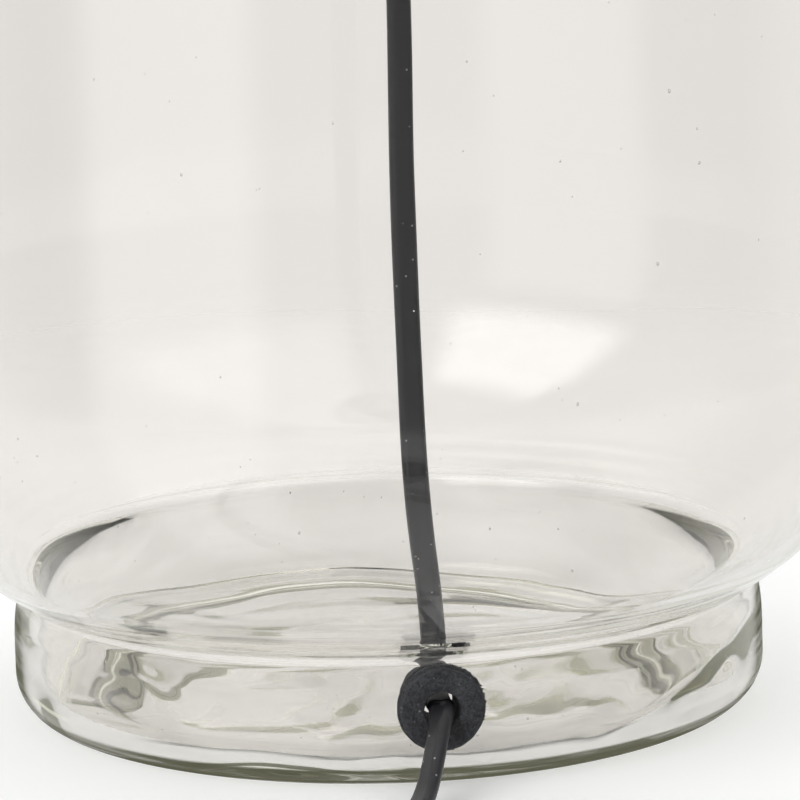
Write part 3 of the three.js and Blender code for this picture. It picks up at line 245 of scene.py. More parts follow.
def shell(points, wrap=(True, True), uv=None):
    """A grid of points as vertices and four-cornered faces. wrap says whether the last row and the last
    column meet the first. uv, where given, is a pair of arrays: one value per row and one per column."""
    rows, columns = points.shape[:2]
    i, j = np.meshgrid(
        np.arange(rows if wrap[0] else rows - 1), np.arange(columns if wrap[1] else columns - 1), indexing="ij"
    )
    corners = [(i, j), (i, j + 1), (i + 1, j + 1), (i + 1, j)]
    faces = np.stack([a % rows * columns + b % columns for a, b in corners], axis=-1)
    along, across = uv if uv is not None else (np.arange(rows + 1) / rows, np.arange(columns + 1) / columns)
    along = np.append(along, along[-1]) if len(along) == rows else along
    across = np.append(across, 1.0) if len(across) == columns else across
    places = np.stack([np.stack([along[a], across[b]], axis=-1) for a, b in corners], axis=-2)
    return {"points": points.reshape(-1, 3), "faces": faces.reshape(-1, 4), "uv": places.reshape(-1, 2)}


def together(*shells):
    """Several shells as one."""
    offsets = np.cumsum([0] + [len(s["points"]) for s in shells[:-1]])
    return {
        "points": np.vstack([s["points"] for s in shells]),
        "faces": np.vstack([s["faces"] + offset for s, offset in zip(shells, offsets)]),
        "uv": np.vstack([s["uv"] for s in shells]),
    }


def moved(points, matrix):
    """Points turned and shifted by a matrix."""
    matrix = np.array(matrix)
    return points @ matrix[:3, :3].T + matrix[:3, 3]


def to_mesh(name, surface):
    """A mesh from a shell, with points that lie on each other merged, so that poles and seams are closed,
    and with its faces pointing out."""
    mesh = bpy.data.meshes.new(name)
    faces = surface["faces"]
    mesh.vertices.add(len(surface["points"]))
    mesh.vertices.foreach_set("co", surface["points"].astype(np.float32).ravel())
    mesh.loops.add(faces.size)
    mesh.loops.foreach_set("vertex_index", faces.astype(np.int32).ravel())
    mesh.polygons.add(len(faces))
    mesh.polygons.foreach_set("loop_start", np.arange(0, faces.size, 4, dtype=np.int32))
    layer = mesh.uv_layers.new(name="Surface")
    layer.data.foreach_set("uv", surface["uv"].astype(np.float32).ravel())
    mesh.update(calc_edges=True)
    work = bmesh.new()
    work.from_mesh(mesh)
    bmesh.ops.remove_doubles(work, verts=work.verts, dist=SAME_POINT)
    bmesh.ops.recalc_face_normals(work, faces=work.faces)
    work.to_mesh(mesh)
    work.free()
    mesh.polygons.foreach_set("use_smooth", np.ones(len(mesh.polygons), bool))
    return mesh


# How the names of turned pieces end, for the finishes that turned pieces use
ENDINGS = {
    "black_rubber": "_rubber", "zinc_steel": "_steel", "black_plastic": "_moulded", "black_paint": "_painted",
    "nickel": "_plated",
}


def place_piece(name, mesh, finish, replaces, body="lamp", crisp=True):
    """Puts a mesh in the scene as a piece that rides on a body. crisp keeps its flat faces flat where they
    meet a rounded edge."""
    piece = bpy.data.objects.new(name, mesh)
    bpy.context.scene.collection.objects.link(piece)
    mesh.materials.clear()
    mesh.materials.append(bpy.data.materials["finish_" + finish])
    if crisp:
        mesh.set_sharp_from_angle(angle=SHARP_ANGLE)
        even = piece.modifiers.new("even_shading", "WEIGHTED_NORMAL")
        even.keep_sharp = True
    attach(piece, body)
    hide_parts(*replaces)
    return piece


def add_turned(node, finish, outline, segments=96, shape=None, **options):
    """A turned piece from its outline, in place of a node."""
    name = node + ENDINGS[finish]
    return place_piece(name, to_mesh(name, shell(turned(outline, segments, shape))), finish, [node], **options)


def dress(finish, edge, *nodes, body="lamp"):
    """Merged copies of nodes' meshes whose flat faces are whole and whose edges are rounded."""
    for node in nodes:
        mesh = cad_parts[node].data.copy()
        work = bmesh.new()
        work.from_mesh(mesh)
        bmesh.ops.remove_doubles(work, verts=work.verts, dist=SAME_CAD_POINT)
        bmesh.ops.dissolve_limit(
            work, angle_limit=math.radians(0.5), use_dissolve_boundaries=False, verts=work.verts, edges=work.edges
        )
        work.to_mesh(mesh)
        work.free()
        mesh.polygons.foreach_set("use_smooth", np.ones(len(mesh.polygons), bool))
        piece = place_piece(node + "_finished", mesh, finish, [node], body, crisp=False)
        mesh.set_sharp_from_angle(angle=SHARP_ANGLE)
        if edge:
            bevel = piece.modifiers.new("rounded_edges", "BEVEL")
            bevel.width = edge
            bevel.segments = 2
            bevel.limit_method = "ANGLE"
            bevel.angle_limit = SHARP_ANGLE
            bevel.use_clamp_overlap = True
        even = piece.modifiers.new("even_shading", "WEIGHTED_NORMAL")
        even.keep_sharp = False


# Shader maths

def arithmetic(operation, swapped=False):
    """A method that adds a Math node for a wire and another wire or number."""

    def apply(self, other):
        first, second = (other, self) if swapped else (self, other)
        return self.sheet.node("Math", {0: first, 1: second}, operation=operation)

    return apply


class Wire:
    """A socket of a node tree. Arithmetic on it adds Math nodes, and its result is another wire."""

    def __init__(self, sheet, socket):
        self.sheet = sheet
        self.socket = socket

    __add__ = arithmetic("ADD")
    __sub__ = arithmetic("SUBTRACT")
    __rsub__ = arithmetic("SUBTRACT", swapped=True)
    __mul__ = arithmetic("MULTIPLY")
    __gt__ = arithmetic("GREATER_THAN")
    __lt__ = arithmetic("LESS_THAN")
    maximum = arithmetic("MAXIMUM")

    def __abs__(self):
        return self.sheet.node("Math", {0: self}, operation="ABSOLUTE")


class Sheet:
    """A node tree being drawn, and the few patterns that the finishes share."""

    def __init__(self, tree):
        self.tree = tree
        tree.nodes.clear()

    def node(self, kind, sockets=None, out=0, **settings):
        """A node of a kind, with its settings made first, then its sockets' values or links."""
        made = self.tree.nodes.new("ShaderNode" + kind)
        for name, value in settings.items():
            setattr(made, name, value)
        for name, value in (sockets or {}).items():
            if isinstance(value, Wire):
                self.tree.links.new(value.socket, made.inputs[name])
            else:
                made.inputs[name].default_value = value
        return Wire(self, made.outputs[out]) if len(made.outputs) else made

    def place(self, stretch=(1, 1, 1), turned_by=(0, 0, 0)):
        """Object coordinates, turned and stretched."""
        where = self.node("TexCoord", out="Object")
        return self.node("Mapping", {"Vector": where, "Scale": stretch, "Rotation": turned_by})

    def surface_place(self, stretch=(1, 1, 1)):
        """The piece's own surface coordinates, stretched."""
        return self.node("Mapping", {"Vector": self.node("UVMap", uv_map="Surface"), "Scale": stretch})

    def noise(self, where, scale, detail=3.0, roughness=0.55, distortion=0.0):
        return self.node("TexNoise", {
            "Vector": where, "Scale": scale, "Detail": detail, "Roughness": roughness, "Distortion": distortion,
        })

    def light_path(self, question):
        return self.node("LightPath", out=question)

    def specks(self, where, scale, radius, kept):
        """Round specks: 1 near the middle of a share of a Voronoi pattern's cells, and 0 elsewhere."""
        distance = self.node("TexVoronoi", {"Vector": where, "Scale": scale}, out="Distance")
        pick = self.node("SeparateColor", {"Color": Wire(self, distance.socket.node.outputs["Color"])})
        return (distance < radius) * (pick < kept)

    def smooth_step(self, value, low, high, to_low=0.0, to_high=1.0):
        ends = {"From Min": low, "From Max": high, "To Min": to_low, "To Max": to_high}
        return self.node("MapRange", {"Value": value, **ends}, interpolation_type="SMOOTHSTEP")

    def fall(self, value, low, high):
        return self.smooth_step(value, low, high, 1.0, 0.0)

    def length(self, vector):
        return self.node("VectorMath", {0: vector}, out="Value", operation="LENGTH")

    def shaded(self, tone, colour, dark, bright, dust, pale):
        """A colour times a share that runs from dark to bright with the tone, under pale dust."""
        base = self.mix(tone, [dark * part for part in colour], [bright * part for part in colour])
        return self.mix(dust, base, pale)

    def mix(self, factor, a, b):
        """A colour between two others."""
        a, b = (value if isinstance(value, Wire) else (*value, 1) for value in (a, b))
        return self.node("Mix", {0: factor, 6: a, 7: b}, out=2, data_type="RGBA")

    def bump(self, height, depth, strength=1.0):
        """A normal from a height that runs from 0 to 1, over a depth in metres."""
        return self.node("Bump", {"Height": height, "Distance": depth, "Strength": strength})


def new_finish(name, look):
    """A material whose tree is drawn by look(sheet), which returns the sockets of a Principled shader. Under
    the name Volume it may add a volume shader, under Passed pairs of rays that pass straight through and
    the colour that they keep, and under Painted pairs of rays and a plain colour that they see in place of the
    surface, which paints light or shade on it."""
    material = bpy.data.materials.new("finish_" + name)
    material.use_nodes = True
    sheet = Sheet(material.node_tree)
    sockets = look(sheet)
    ends = {"Volume": sockets.pop("Volume")} if "Volume" in sockets else {}
    others = [("BsdfTransparent", *pair) for pair in sockets.pop("Passed", ())]
    others += [("Emission", *pair) for pair in sockets.pop("Shown", ())]
    surface = sheet.node("BsdfPrincipled", sockets)
    for shader, rays, seen in others:
        surface = sheet.node("MixShader", {0: rays, 1: surface, 2: sheet.node(shader, {"Color": (*seen, 1)})})
    sheet.node("OutputMaterial", {"Surface": surface, **ends})


def glass_finish(sheet):
    """Clear hand-blown glass: faint drawn-out cords in its surface, swirls on the inner faces of the foot,
    and a green tint in its depth. Light that ran round in the wall passes on straight, a little dimmer. A
    painted shade, a dark colour shown to the camera in place of the glass, lies in the rounding under the
    foot and along the foot's side edges where they graze the view."""
    glass = bpy.context.scene.lamp_glass
    step, fall = sheet.smooth_step, sheet.fall
    painted_band_top, painted_edge_top, swirl_top, side_start = (0.0044, 0.0053), (0.024, 0.028), (0.020, 0.030), (0.013, 0.019)
    painted_band_ring, outer_wall, inner_wall = (0.070, 0.073), (0.081, 0.082), (0.0800, 0.0815)
    painted_edge_facing, streak_tones, swirl_share, clear_share = (0.72, 0.86), (0.62, 0.98), 12.0, (0.93, 0.93, 0.93)

    height = sheet.node("SeparateXYZ", {0: sheet.place()}, out="Z")
    aside = sheet.length(sheet.place(stretch=(1, 1, 0)))
    facing = sheet.node("LayerWeight", {"Blend": 0.5}, out="Facing")
    streaks = sheet.noise(sheet.place(stretch=(30, 30, 900)), 1.0, detail=3.0)
    # Painted shade: base is set in the rounding under the foot, and edge along the foot's side where it grazes the
    # view; streaks break both up.
    base = fall(height, *painted_band_top) * step(aside, *painted_band_ring)
    edge = fall(height, *painted_edge_top) * step(aside, *outer_wall) * step(facing, *painted_edge_facing)
    base = (base + (1 - base) * edge) * step(streaks, 0.35, 0.65, *streak_tones)

    cords = sheet.noise(sheet.place(stretch=(18, 18, 7)), 1.0, detail=2.0)
    swirl = sheet.noise(sheet.place(stretch=(1, 1, 1.8)), 19.0, detail=0.3, distortion=1.7)
    swirl = swirl * fall(aside, *inner_wall) * step(height, *swirl_top, swirl_share, 0.0)

    lighting = sheet.light_path("Is Shadow Ray") + sheet.light_path("Is Diffuse Ray")
    bounces = sheet.light_path("Glossy Depth")
    above = step(height, *side_start)
    return {
        "Base Color": (*glass.cast, 1),
        "Roughness": 0.0,
        "IOR": 1.5,
        "Transmission Weight": 1.0,
        "Normal": sheet.bump(cords + swirl, 0.0006, strength=0.35),
        "Volume": sheet.node("VolumeAbsorption", {"Color": (*glass.tint, 1), "Density": glass.tint_depth}),
        "Passed": [
            (lighting > 0.5, clear_share),
            ((bounces > 1.5) * above, glass.trapped),
            ((bounces > 2.5) * (1 - above), glass.base_trapped),
        ],
        # Painted shade: there camera rays see the dark base colour in place of the glass.
        "Shown": [(base * sheet.light_path("Is Camera Ray"), glass.painted_base_shade)],
    }


def lead_finish(sheet):
    """Extruded black sheath: fine lines along it, faint cross ribs in places, and pale dust."""
    lead = bpy.context.scene.lamp_lead
    where = sheet.place()
    lines = sheet.noise(sheet.surface_place(stretch=(25, 22, 1)), 2.0, detail=4.0)
    patches = sheet.noise(where, 60.0)
    along = sheet.surface_place(stretch=(1, 0, 1))
    ribs = sheet.node(
        "TexWave", {"Vector": along, "Scale": 190.0, "Distortion": 0.6, "Detail": 1.0},
        out=1, wave_type="BANDS", bands_direction="X",
    )
    ribbed = ribs * sheet.smooth_step(patches, 0.5, 0.68)
    fine = sheet.noise(where, 2600.0, detail=2.0)
    dust = sheet.specks(where, 520.0, 0.13, 0.16) * lead.dust
    return {
        "Base Color": sheet.shaded(lines, lead.colour, 1.0, 1.9, dust, (0.55, 0.56, 0.58)),
        "Roughness": sheet.smooth_step(patches, 0.3, 0.75, 0.36, 0.52),
        "Normal": sheet.bump(lines * 0.5 + ribbed * 0.35 + fine * 0.2, 0.00012, strength=0.8),
    }


def rubber_finish(sheet):
    """Matt moulded rubber: a fine grain, a mottled tone, pale dust and fluff."""
    rubber = bpy.context.scene.lamp_fittings.rubber
    where = sheet.place()
    mottle = sheet.noise(where, 220.0, detail=4.0)
    grain = sheet.noise(where, 1900.0, detail=3.0, roughness=0.7)
    dust = sheet.specks(where, 1100.0, 0.2, 0.22) * bpy.context.scene.lamp_lead.dust
    fluff = sheet.specks(where, 380.0, 0.1, 0.1)
    tone = sheet.smooth_step(mottle * 0.4 + grain * 0.6, 0.36, 0.68)
    return {
        "Base Color": sheet.shaded(tone, rubber, 0.6, 2.6, dust * 0.35 + fluff * 0.5, (0.5, 0.5, 0.52)),
        "Roughness": sheet.smooth_step(grain, 0.3, 0.7, 0.62, 0.82),
        "Specular IOR Level": 0.35,
        "Normal": sheet.bump(grain + mottle * 0.6, 0.00016, strength=0.9),
    }


def plastic_finish(sheet):
    """Black moulded plastic with a fine eroded texture and a few rubbed spots."""
    where = sheet.place()
    grain = sheet.noise(where, 3200.0, detail=2.0)
    cloud = sheet.noise(where, 90.0, detail=3.0)
    spots = sheet.specks(where, 420.0, 0.09, 0.12) * 0.4
    plastic = bpy.context.scene.lamp_fittings.plastic
    return {
        "Base Color": sheet.shaded(cloud, plastic, 0.85, 1.5, spots, (0.3, 0.3, 0.3)),
        "Roughness": sheet.smooth_step(cloud, 0.25, 0.8, 0.34, 0.5),
        "Normal": sheet.bump(grain, 0.00004, strength=0.6),
    }


def paint_finish(sheet):
    """Satin black paint on metal: a soft orange peel under a thin clear coat."""
    where = sheet.place()
    peel = sheet.noise(where, 750.0, detail=1.0)
    cloud = sheet.noise(where, 60.0, detail=3.0)
    dust = sheet.specks(where, 300.0, 0.07, 0.1) * 0.3
    paint = bpy.context.scene.lamp_fittings.paint
    return {
        "Base Color": sheet.shaded(cloud, paint, 0.8, 1.4, dust, (0.35, 0.35, 0.35)),
        "Metallic": 0.25,
        "Roughness": sheet.smooth_step(cloud, 0.2, 0.8, 0.26, 0.4),
        "Coat Weight": 0.35,
        "Coat Roughness": 0.12,
        "Normal": sheet.bump(peel, 0.00005, strength=0.5),
    }


def metal_finish(dark, bright, roughness):
    """A turned and plated metal: fine rings across its height, a cloudy tone and small scratches."""
    dull = roughness + 0.14

    def look(sheet):
        where = sheet.place()
        lathe = sheet.noise(sheet.place(stretch=(20, 20, 2600)), 1.0, detail=2.0)
        cloud = sheet.noise(where, 140.0, detail=4.0)
        marks = sheet.noise(sheet.place(stretch=(3000, 200, 200), turned_by=(0.4, 0.3, 0.7)), 1.0, detail=2.0)
        tone = sheet.smooth_step(cloud, 0.25, 0.75)
        return {
            "Base Color": sheet.mix(tone, dark, bright),
            "Metallic": 1.0,
            "Roughness": sheet.smooth_step(cloud * 0.6 + marks * 0.4, 0.3, 0.7, roughness, dull),
            "Normal": sheet.bump(lathe * 0.7 + marks * 0.3, 0.00002, strength=0.5),
        }

    return look


def ceramic_finish(sheet):
    """White glazed ceramic with faint pits and a warm mottle."""
    where = sheet.place()
    mottle = sheet.noise(where, 260.0, detail=4.0)
    pits = sheet.specks(where, 900.0, 0.1, 0.2)
    return {
        "Base Color": sheet.mix(mottle, (0.70, 0.67, 0.60), (0.82, 0.80, 0.75)),
        "Roughness": sheet.smooth_step(mottle, 0.3, 0.7, 0.22, 0.36),
        "Normal": sheet.bump(mottle - pits * 0.6, 0.00006, strength=0.6),
    }


def insulation_finish(dark, bright):
    """Coloured wire insulation with fine lines along it."""

    def look(sheet):
        where = sheet.place()
        lines = sheet.noise(where, 1500.0, detail=3.0)
        return {
            "Base Color": sheet.mix(lines, dark, bright),
            "Roughness": sheet.smooth_step(lines, 0.3, 0.7, 0.38, 0.55),
            "Normal": sheet.bump(lines, 0.00003, strength=0.5),
        }

    return look


FINISHES = {
    "clear_glass": glass_finish,
    "black_lead": lead_finish,
    "black_rubber": rubber_finish,
    "black_plastic": plastic_finish,
    "black_paint": paint_finish,
    "zinc_steel": metal_finish((0.42, 0.43, 0.45), (0.66, 0.67, 0.69), 0.24),
    "brass": metal_finish((0.52, 0.35, 0.12), (0.76, 0.57, 0.27), 0.2),
    "nickel": metal_finish((0.55, 0.53, 0.49), (0.78, 0.76, 0.72), 0.12),
    "ceramic": ceramic_finish,
    "brown_insulation": insulation_finish((0.09, 0.035, 0.015), (0.16, 0.07, 0.035)),
    "blue_insulation": insulation_finish((0.02, 0.07, 0.24), (0.05, 0.13, 0.38)),
}


# Routes of the lead, in millimetres, along its solids, apart from a sharper bend just outside the grommet

LEAD_REST = 1.95
COIL_CENTRE = (66.0, -202.0)
COIL_LOW = 3.05
COIL_LAYER = 6.4
COIL_PITCH = 4.7
COIL_REACH = 40.0
SWITCH_X, SWITCH_Y = -32.0, -242.0
SWITCH_ENTRY = 31.3
SWITCH_SPLIT = 7.0
PLUG_MIDDLE = 6.85
RELIEF_END_X = -14.0
PLUG_LINE = -198.0
INNER_ROUTE = [
    (0, 0, 438.5), (0, 0, 368.8), (0, 0, 352.8), (1.4, 0, 325), (4.6, 0, 280), (6.9, 0.5, 225), (6.6, 1, 164),
    (6.1, 0, 117), (6.1, -3, 82), (5.5, -11, 55), (3.7, -37, 33), (1.4, -63, 21.5), (0.2, -76, 19),
    (0, -86.2, 19),
]
OUTER_ROUTE = [
    (0, -86.5, 19), (-0.6, -90, 18), (-2.2, -94.5, 14), (-4.2, -99, 8.6), (-6.6, -104, 4.2),
    (-10, -111, LEAD_REST + 0.25), (-15, -119, LEAD_REST), (-26, -128.5, LEAD_REST), (-45, -134, LEAD_REST),
    (-70, -137, LEAD_REST), (-94, -146, LEAD_REST), (-112, -163, LEAD_REST), (-118.6, -190, LEAD_REST),
    (-108, SWITCH_Y + 17, LEAD_REST), (-90, SWITCH_Y + 2, LEAD_REST + 1),
    (SWITCH_X - SWITCH_ENTRY - 9, SWITCH_Y, SWITCH_SPLIT - 0.4), (SWITCH_X - SWITCH_ENTRY, SWITCH_Y, SWITCH_SPLIT),
]
COIL_EDGE, COIL_BACK = COIL_CENTRE[1] - COIL_REACH, COIL_CENTRE[1] + COIL_REACH
LINK_ROUTE = [
    (SWITCH_X + SWITCH_ENTRY, SWITCH_Y, SWITCH_SPLIT), (SWITCH_X + SWITCH_ENTRY + 9, SWITCH_Y, SWITCH_SPLIT - 0.5),
    (30, SWITCH_Y, COIL_LOW + 0.6), (48, COIL_EDGE, COIL_LOW), (COIL_CENTRE[0] - 6.1, COIL_EDGE, COIL_LOW),
]
TAIL_ROUTE = [
    (COIL_CENTRE[0] - 6.1, COIL_BACK, COIL_LOW + COIL_LAYER), (50, COIL_BACK - 1, COIL_LOW + COIL_LAYER - 0.8),
    (37, COIL_BACK - 6, 4.2), (24, COIL_BACK - 15, 2.6), (10, PLUG_LINE + 10, 3), (-2, PLUG_LINE + 2.5, 5.6),
    (RELIEF_END_X + 4.3, PLUG_LINE, PLUG_MIDDLE), (RELIEF_END_X + 0.3, PLUG_LINE, PLUG_MIDDLE),
]


def smooth_route(points, steps=24):
    """A centripetal Catmull-Rom curve. Between two points it is the cubic with their places and with
    tangents weighted by the square roots of the neighbouring distances."""
    points = np.array(points, float)
    ends = np.vstack([2 * points[0] - points[1], points, 2 * points[-1] - points[-2]])
    gap = np.sqrt(np.linalg.norm(np.diff(ends, axis=0), axis=1))[:, None]
    slope = np.diff(ends, axis=0) / gap
    wide = (ends[2:] - ends[:-2]) / (gap[1:] + gap[:-1])
    lean = slope[:-1] - wide + slope[1:]
    t = np.linspace(0, 1, steps, endpoint=False)[None, :, None]
    start, end = points[:-1, None], points[1:, None]
    out, into = (lean[:-1] * gap[1:-1])[:, None], (lean[1:] * gap[1:-1])[:, None]
    curve = (
        start * (2 * t**3 - 3 * t**2 + 1) + out * (t**3 - 2 * t**2 + t)
        + end * (3 * t**2 - 2 * t**3) + into * (t**3 - t**2)
    )
    return np.vstack([curve.reshape(-1, 3), points[-1:]])


def coil_route(steps=72):
    """A flat coil of two layers. The radius falls at a steady rate to half the turns and grows again after
    them, and the height steps up one layer during the half turn where it reverses."""
    lead = bpy.context.scene.lamp_lead
    half = lead.coil_loops / 2
    turns = np.linspace(0, lead.coil_loops, int(lead.coil_loops * steps) + 1)
    radius = lead.coil_radius / MM - COIL_PITCH * (half - np.abs(turns - half))
    climb = np.clip((turns - half) * 2 + 0.5, 0, 1)
    angle = FULL_TURN * turns - QUARTER
    return np.column_stack([
        COIL_CENTRE[0] + radius * np.cos(angle), COIL_CENTRE[1] + radius * np.sin(angle),
        COIL_LOW + COIL_LAYER * (3 * climb**2 - 2 * climb**3),
    ])


def even_steps(points, step):
    """Points at equal distances along a fine polyline, and each one's distance from the start."""
    along = np.concatenate([[0], np.cumsum(np.linalg.norm(np.diff(points, axis=0), axis=1))])
    marks = np.linspace(0, along[-1], int(round(along[-1] / step)) + 1)
    return np.column_stack([np.interp(marks, along, points[:, k]) for k in range(3)]), marks


def twin_section(width, thickness, groove, sides=28):
    """The flat twin lead's outline: a strip with round ends, the radius times cosine and sine of the angle
    with the halves moved apart by a hyperbolic tangent of the cosine. Its flat sides dip in a bell-shaped
    groove half way across."""
    steepness, groove_width = 4.0, 0.2 * width
    radius = thickness / 2
    run = width / 2 - radius
    angle = circle(sides)
    across = radius * np.cos(angle) + run * np.tanh(steepness * np.cos(angle))
    height = radius * np.sin(angle)
    dip = groove * np.exp(-((across / groove_width) ** 2))
    return np.column_stack([across, height - np.sign(height) * dip])


def carried(route, side, roll, section, size=1.0):
    """A section carried along a route, times a size. Each route point gets the section's first axis along
    the side vector, turned about the tangent by the roll, and its second axis at right angles to both."""
    tangent = np.gradient(route, axis=0)
    tangent /= np.linalg.norm(tangent, axis=1, keepdims=True)
    side = side(tangent)
    side /= np.linalg.norm(side, axis=1, keepdims=True)
    up = np.cross(side, tangent)
    roll = np.broadcast_to(roll, len(route))[:, None]
    wide = side * np.cos(roll) - up * np.sin(roll)
    thick = up * np.cos(roll) + side * np.sin(roll)
    size = np.broadcast_to(size, len(route))[:, None, None]
    grid = route[:, None] + size * (wide[:, None] * section[None, :, :1] + thick[:, None] * section[None, :, 1:])
    first = np.broadcast_to(route[:1, None], grid[:1].shape)
    last = np.broadcast_to(route[-1:, None], grid[-1:].shape)
    return np.concatenate([first, grid, last])


def level_side(tangent):
    """The level direction at right angles to a tangent."""
    return np.cross(tangent, [0.0, 0.0, 1.0])


def hanging_side(tangent):
    """The +X direction less its part along a tangent."""
    return np.array([1.0, 0.0, 0.0]) - tangent * tangent[:, :1]


def lead_surface(route, side, roll, marks, size=1.0):
    """The flat twin lead along a route, with the distance from its start and the share of its outline as
    surface coordinates."""
    lead = bpy.context.scene.lamp_lead
    section = twin_section(lead.width, lead.thickness, lead.groove)
    along = np.concatenate([marks[:1], marks, marks[-1:]])
    across = np.linspace(0, 1, len(section) + 1)
    return shell(carried(route, side, roll, section, size), wrap=(False, True), uv=(along, across))


# Operators, one for each piece or group of like pieces

class LampOperator(bpy.types.Operator):
    """Runs one step of the lamp's building"""
    bl_options = {"REGISTER", "UNDO"}

    def execute(self, context):
        self.build(context.scene)
        return {"FINISHED"}


class LAMP_OT_finishes(LampOperator):
    """Makes every finish that the pieces use"""
    bl_idname = "lamp.finishes"
    bl_label = "Finishes"

    def build(self, scene):
        for name, look in FINISHES.items():
            new_finish(name, look)


class LAMP_OT_camera(LampOperator):
    """Sets the camera to look at the lamp's foot from the front left, as in the photo"""
    bl_idname = "lamp.camera"
    bl_label = "Camera"

    # The picture's side, where it shows the lamp's axis and how wide the foot's radius is there, in pixels,
    # and the height of that point
    picture = 800
    foot_mark = (389.1, 655.4)
    foot_span = 373.4
    foot_mark_height = 0.0092

    def build(self, scene):
        stage = scene.lamp_stage
        scale = self.foot_span / scene.lamp_glass.foot_radius
        a, e = stage.azimuth, stage.elevation
        back = Vector((math.sin(a) * math.cos(e), -math.cos(a) * math.cos(e), math.sin(e)))
        turned_to = back.to_track_quat("Z", "Y").to_matrix() @ Matrix.Rotation(-stage.roll, 3, "Z")
        right, up = turned_to.col[0], turned_to.col[1]
        centre = self.picture / 2
        middle = Vector((0, 0, self.foot_mark_height))
        middle += right * ((centre - self.foot_mark[0]) / scale) + up * ((self.foot_mark[1] - centre) / scale)
        data = bpy.data.cameras.new("camera")
        data.lens = stage.distance * scale * data.sensor_width / self.picture
        data.clip_start = 0.05
        data.clip_end = 50
        camera = bpy.data.objects.new("camera", data)
        scene.collection.objects.link(camera)
        camera.matrix_world = Matrix.Translation(middle + back * stage.distance) @ turned_to.to_4x4()
        scene.camera = camera


class LAMP_OT_lead(LampOperator):
    """Lays the outer lead from the grommet through the switch and the coil to the plug"""
    bl_idname = "lamp.lead"
    bl_label = "Outer lead"

    # In metres: the distance from one outline to the next, how far inside the switch's ends the sheath is
    # stripped, how much lower it lies there, and between which distances from the grommet its twist comes
    # and goes. Stripping takes off a share of its size.
    step = 0.002
    strip_ends = (0.006, 0.012)
    strip_drop = 0.0026
    strip_share = 0.7
    twist_comes = (-0.004, 0.008)
    twist_goes = (0.012, 0.045)

    def build(self, scene):
        lead = scene.lamp_lead
        into_relief = (RELIEF_END_X - 3, PLUG_LINE, PLUG_MIDDLE)
        runs = [
            smooth_route(OUTER_ROUTE), smooth_route(LINK_ROUTE), coil_route(), smooth_route(TAIL_ROUTE),
            np.array([into_relief], float),
        ]
        lengths = [np.linalg.norm(np.diff(run, axis=0), axis=1).sum() for run in runs]
        route, marks = even_steps(np.vstack(runs) * MM, self.step)
        switch_start, switch_end = lengths[0] * MM, (lengths[0] + 2 * SWITCH_ENTRY) * MM
        tail_start, tail_end = marks[-1] - lengths[3] * MM, marks[-1] - 0.01
        near, far = self.strip_ends
        stripped = smooth(marks, switch_start + near, switch_start + far)
        stripped -= smooth(marks, switch_end - far, switch_end - near)
        route[:, 2] -= self.strip_drop * stripped
        upright = smooth(marks, switch_end, switch_end + lengths[1] * MM) - smooth(marks, tail_start, tail_end)
        twist = lead.exit_twist * smooth(marks, *self.twist_comes) * (1 - smooth(marks, *self.twist_goes))
        size = 1 - self.strip_share * stripped
        surface = lead_surface(route, level_side, QUARTER * upright + twist, marks, size)
        piece = place_piece(
            "outer_lead_sheath", to_mesh("outer_lead_sheath", surface), "black_lead",
            ["outer_lead", "lead_link", "lead_coil", "lead_tail"], crisp=False,
        )


class LAMP_OT_inner_lead(LampOperator):
    """Hangs the inner lead from the holder's cord grip down to the grommet"""
    bl_idname = "lamp.inner_lead"
    bl_label = "Inner lead"

    # The distance from one outline to the next, then the sway: the lead turns from side to side by a sine of
    # the distance from its upper end, with a swing in radians, a rate per metre and a phase. It comes in
    # below the neck, and ends above the grommet.
    step = 0.0015
    swing, rate, phase = 0.35, 16.0, 0.6
    swing_comes = (0.09, 0.16)
    still_end = 0.03

    def build(self, scene):
        route, marks = even_steps(smooth_route(INNER_ROUTE) * MM, self.step)
        sway = self.swing * np.sin(marks * self.rate + self.phase) * smooth(marks, *self.swing_comes)
        sway *= 1 - smooth(marks, marks[-1] - self.still_end, marks[-1])
        surface = lead_surface(route, hanging_side, sway, marks)
        place_piece(
            "inner_lead_sheath", to_mesh("inner_lead_sheath", surface), "black_lead", ["inner_lead"], crisp=False,
        )


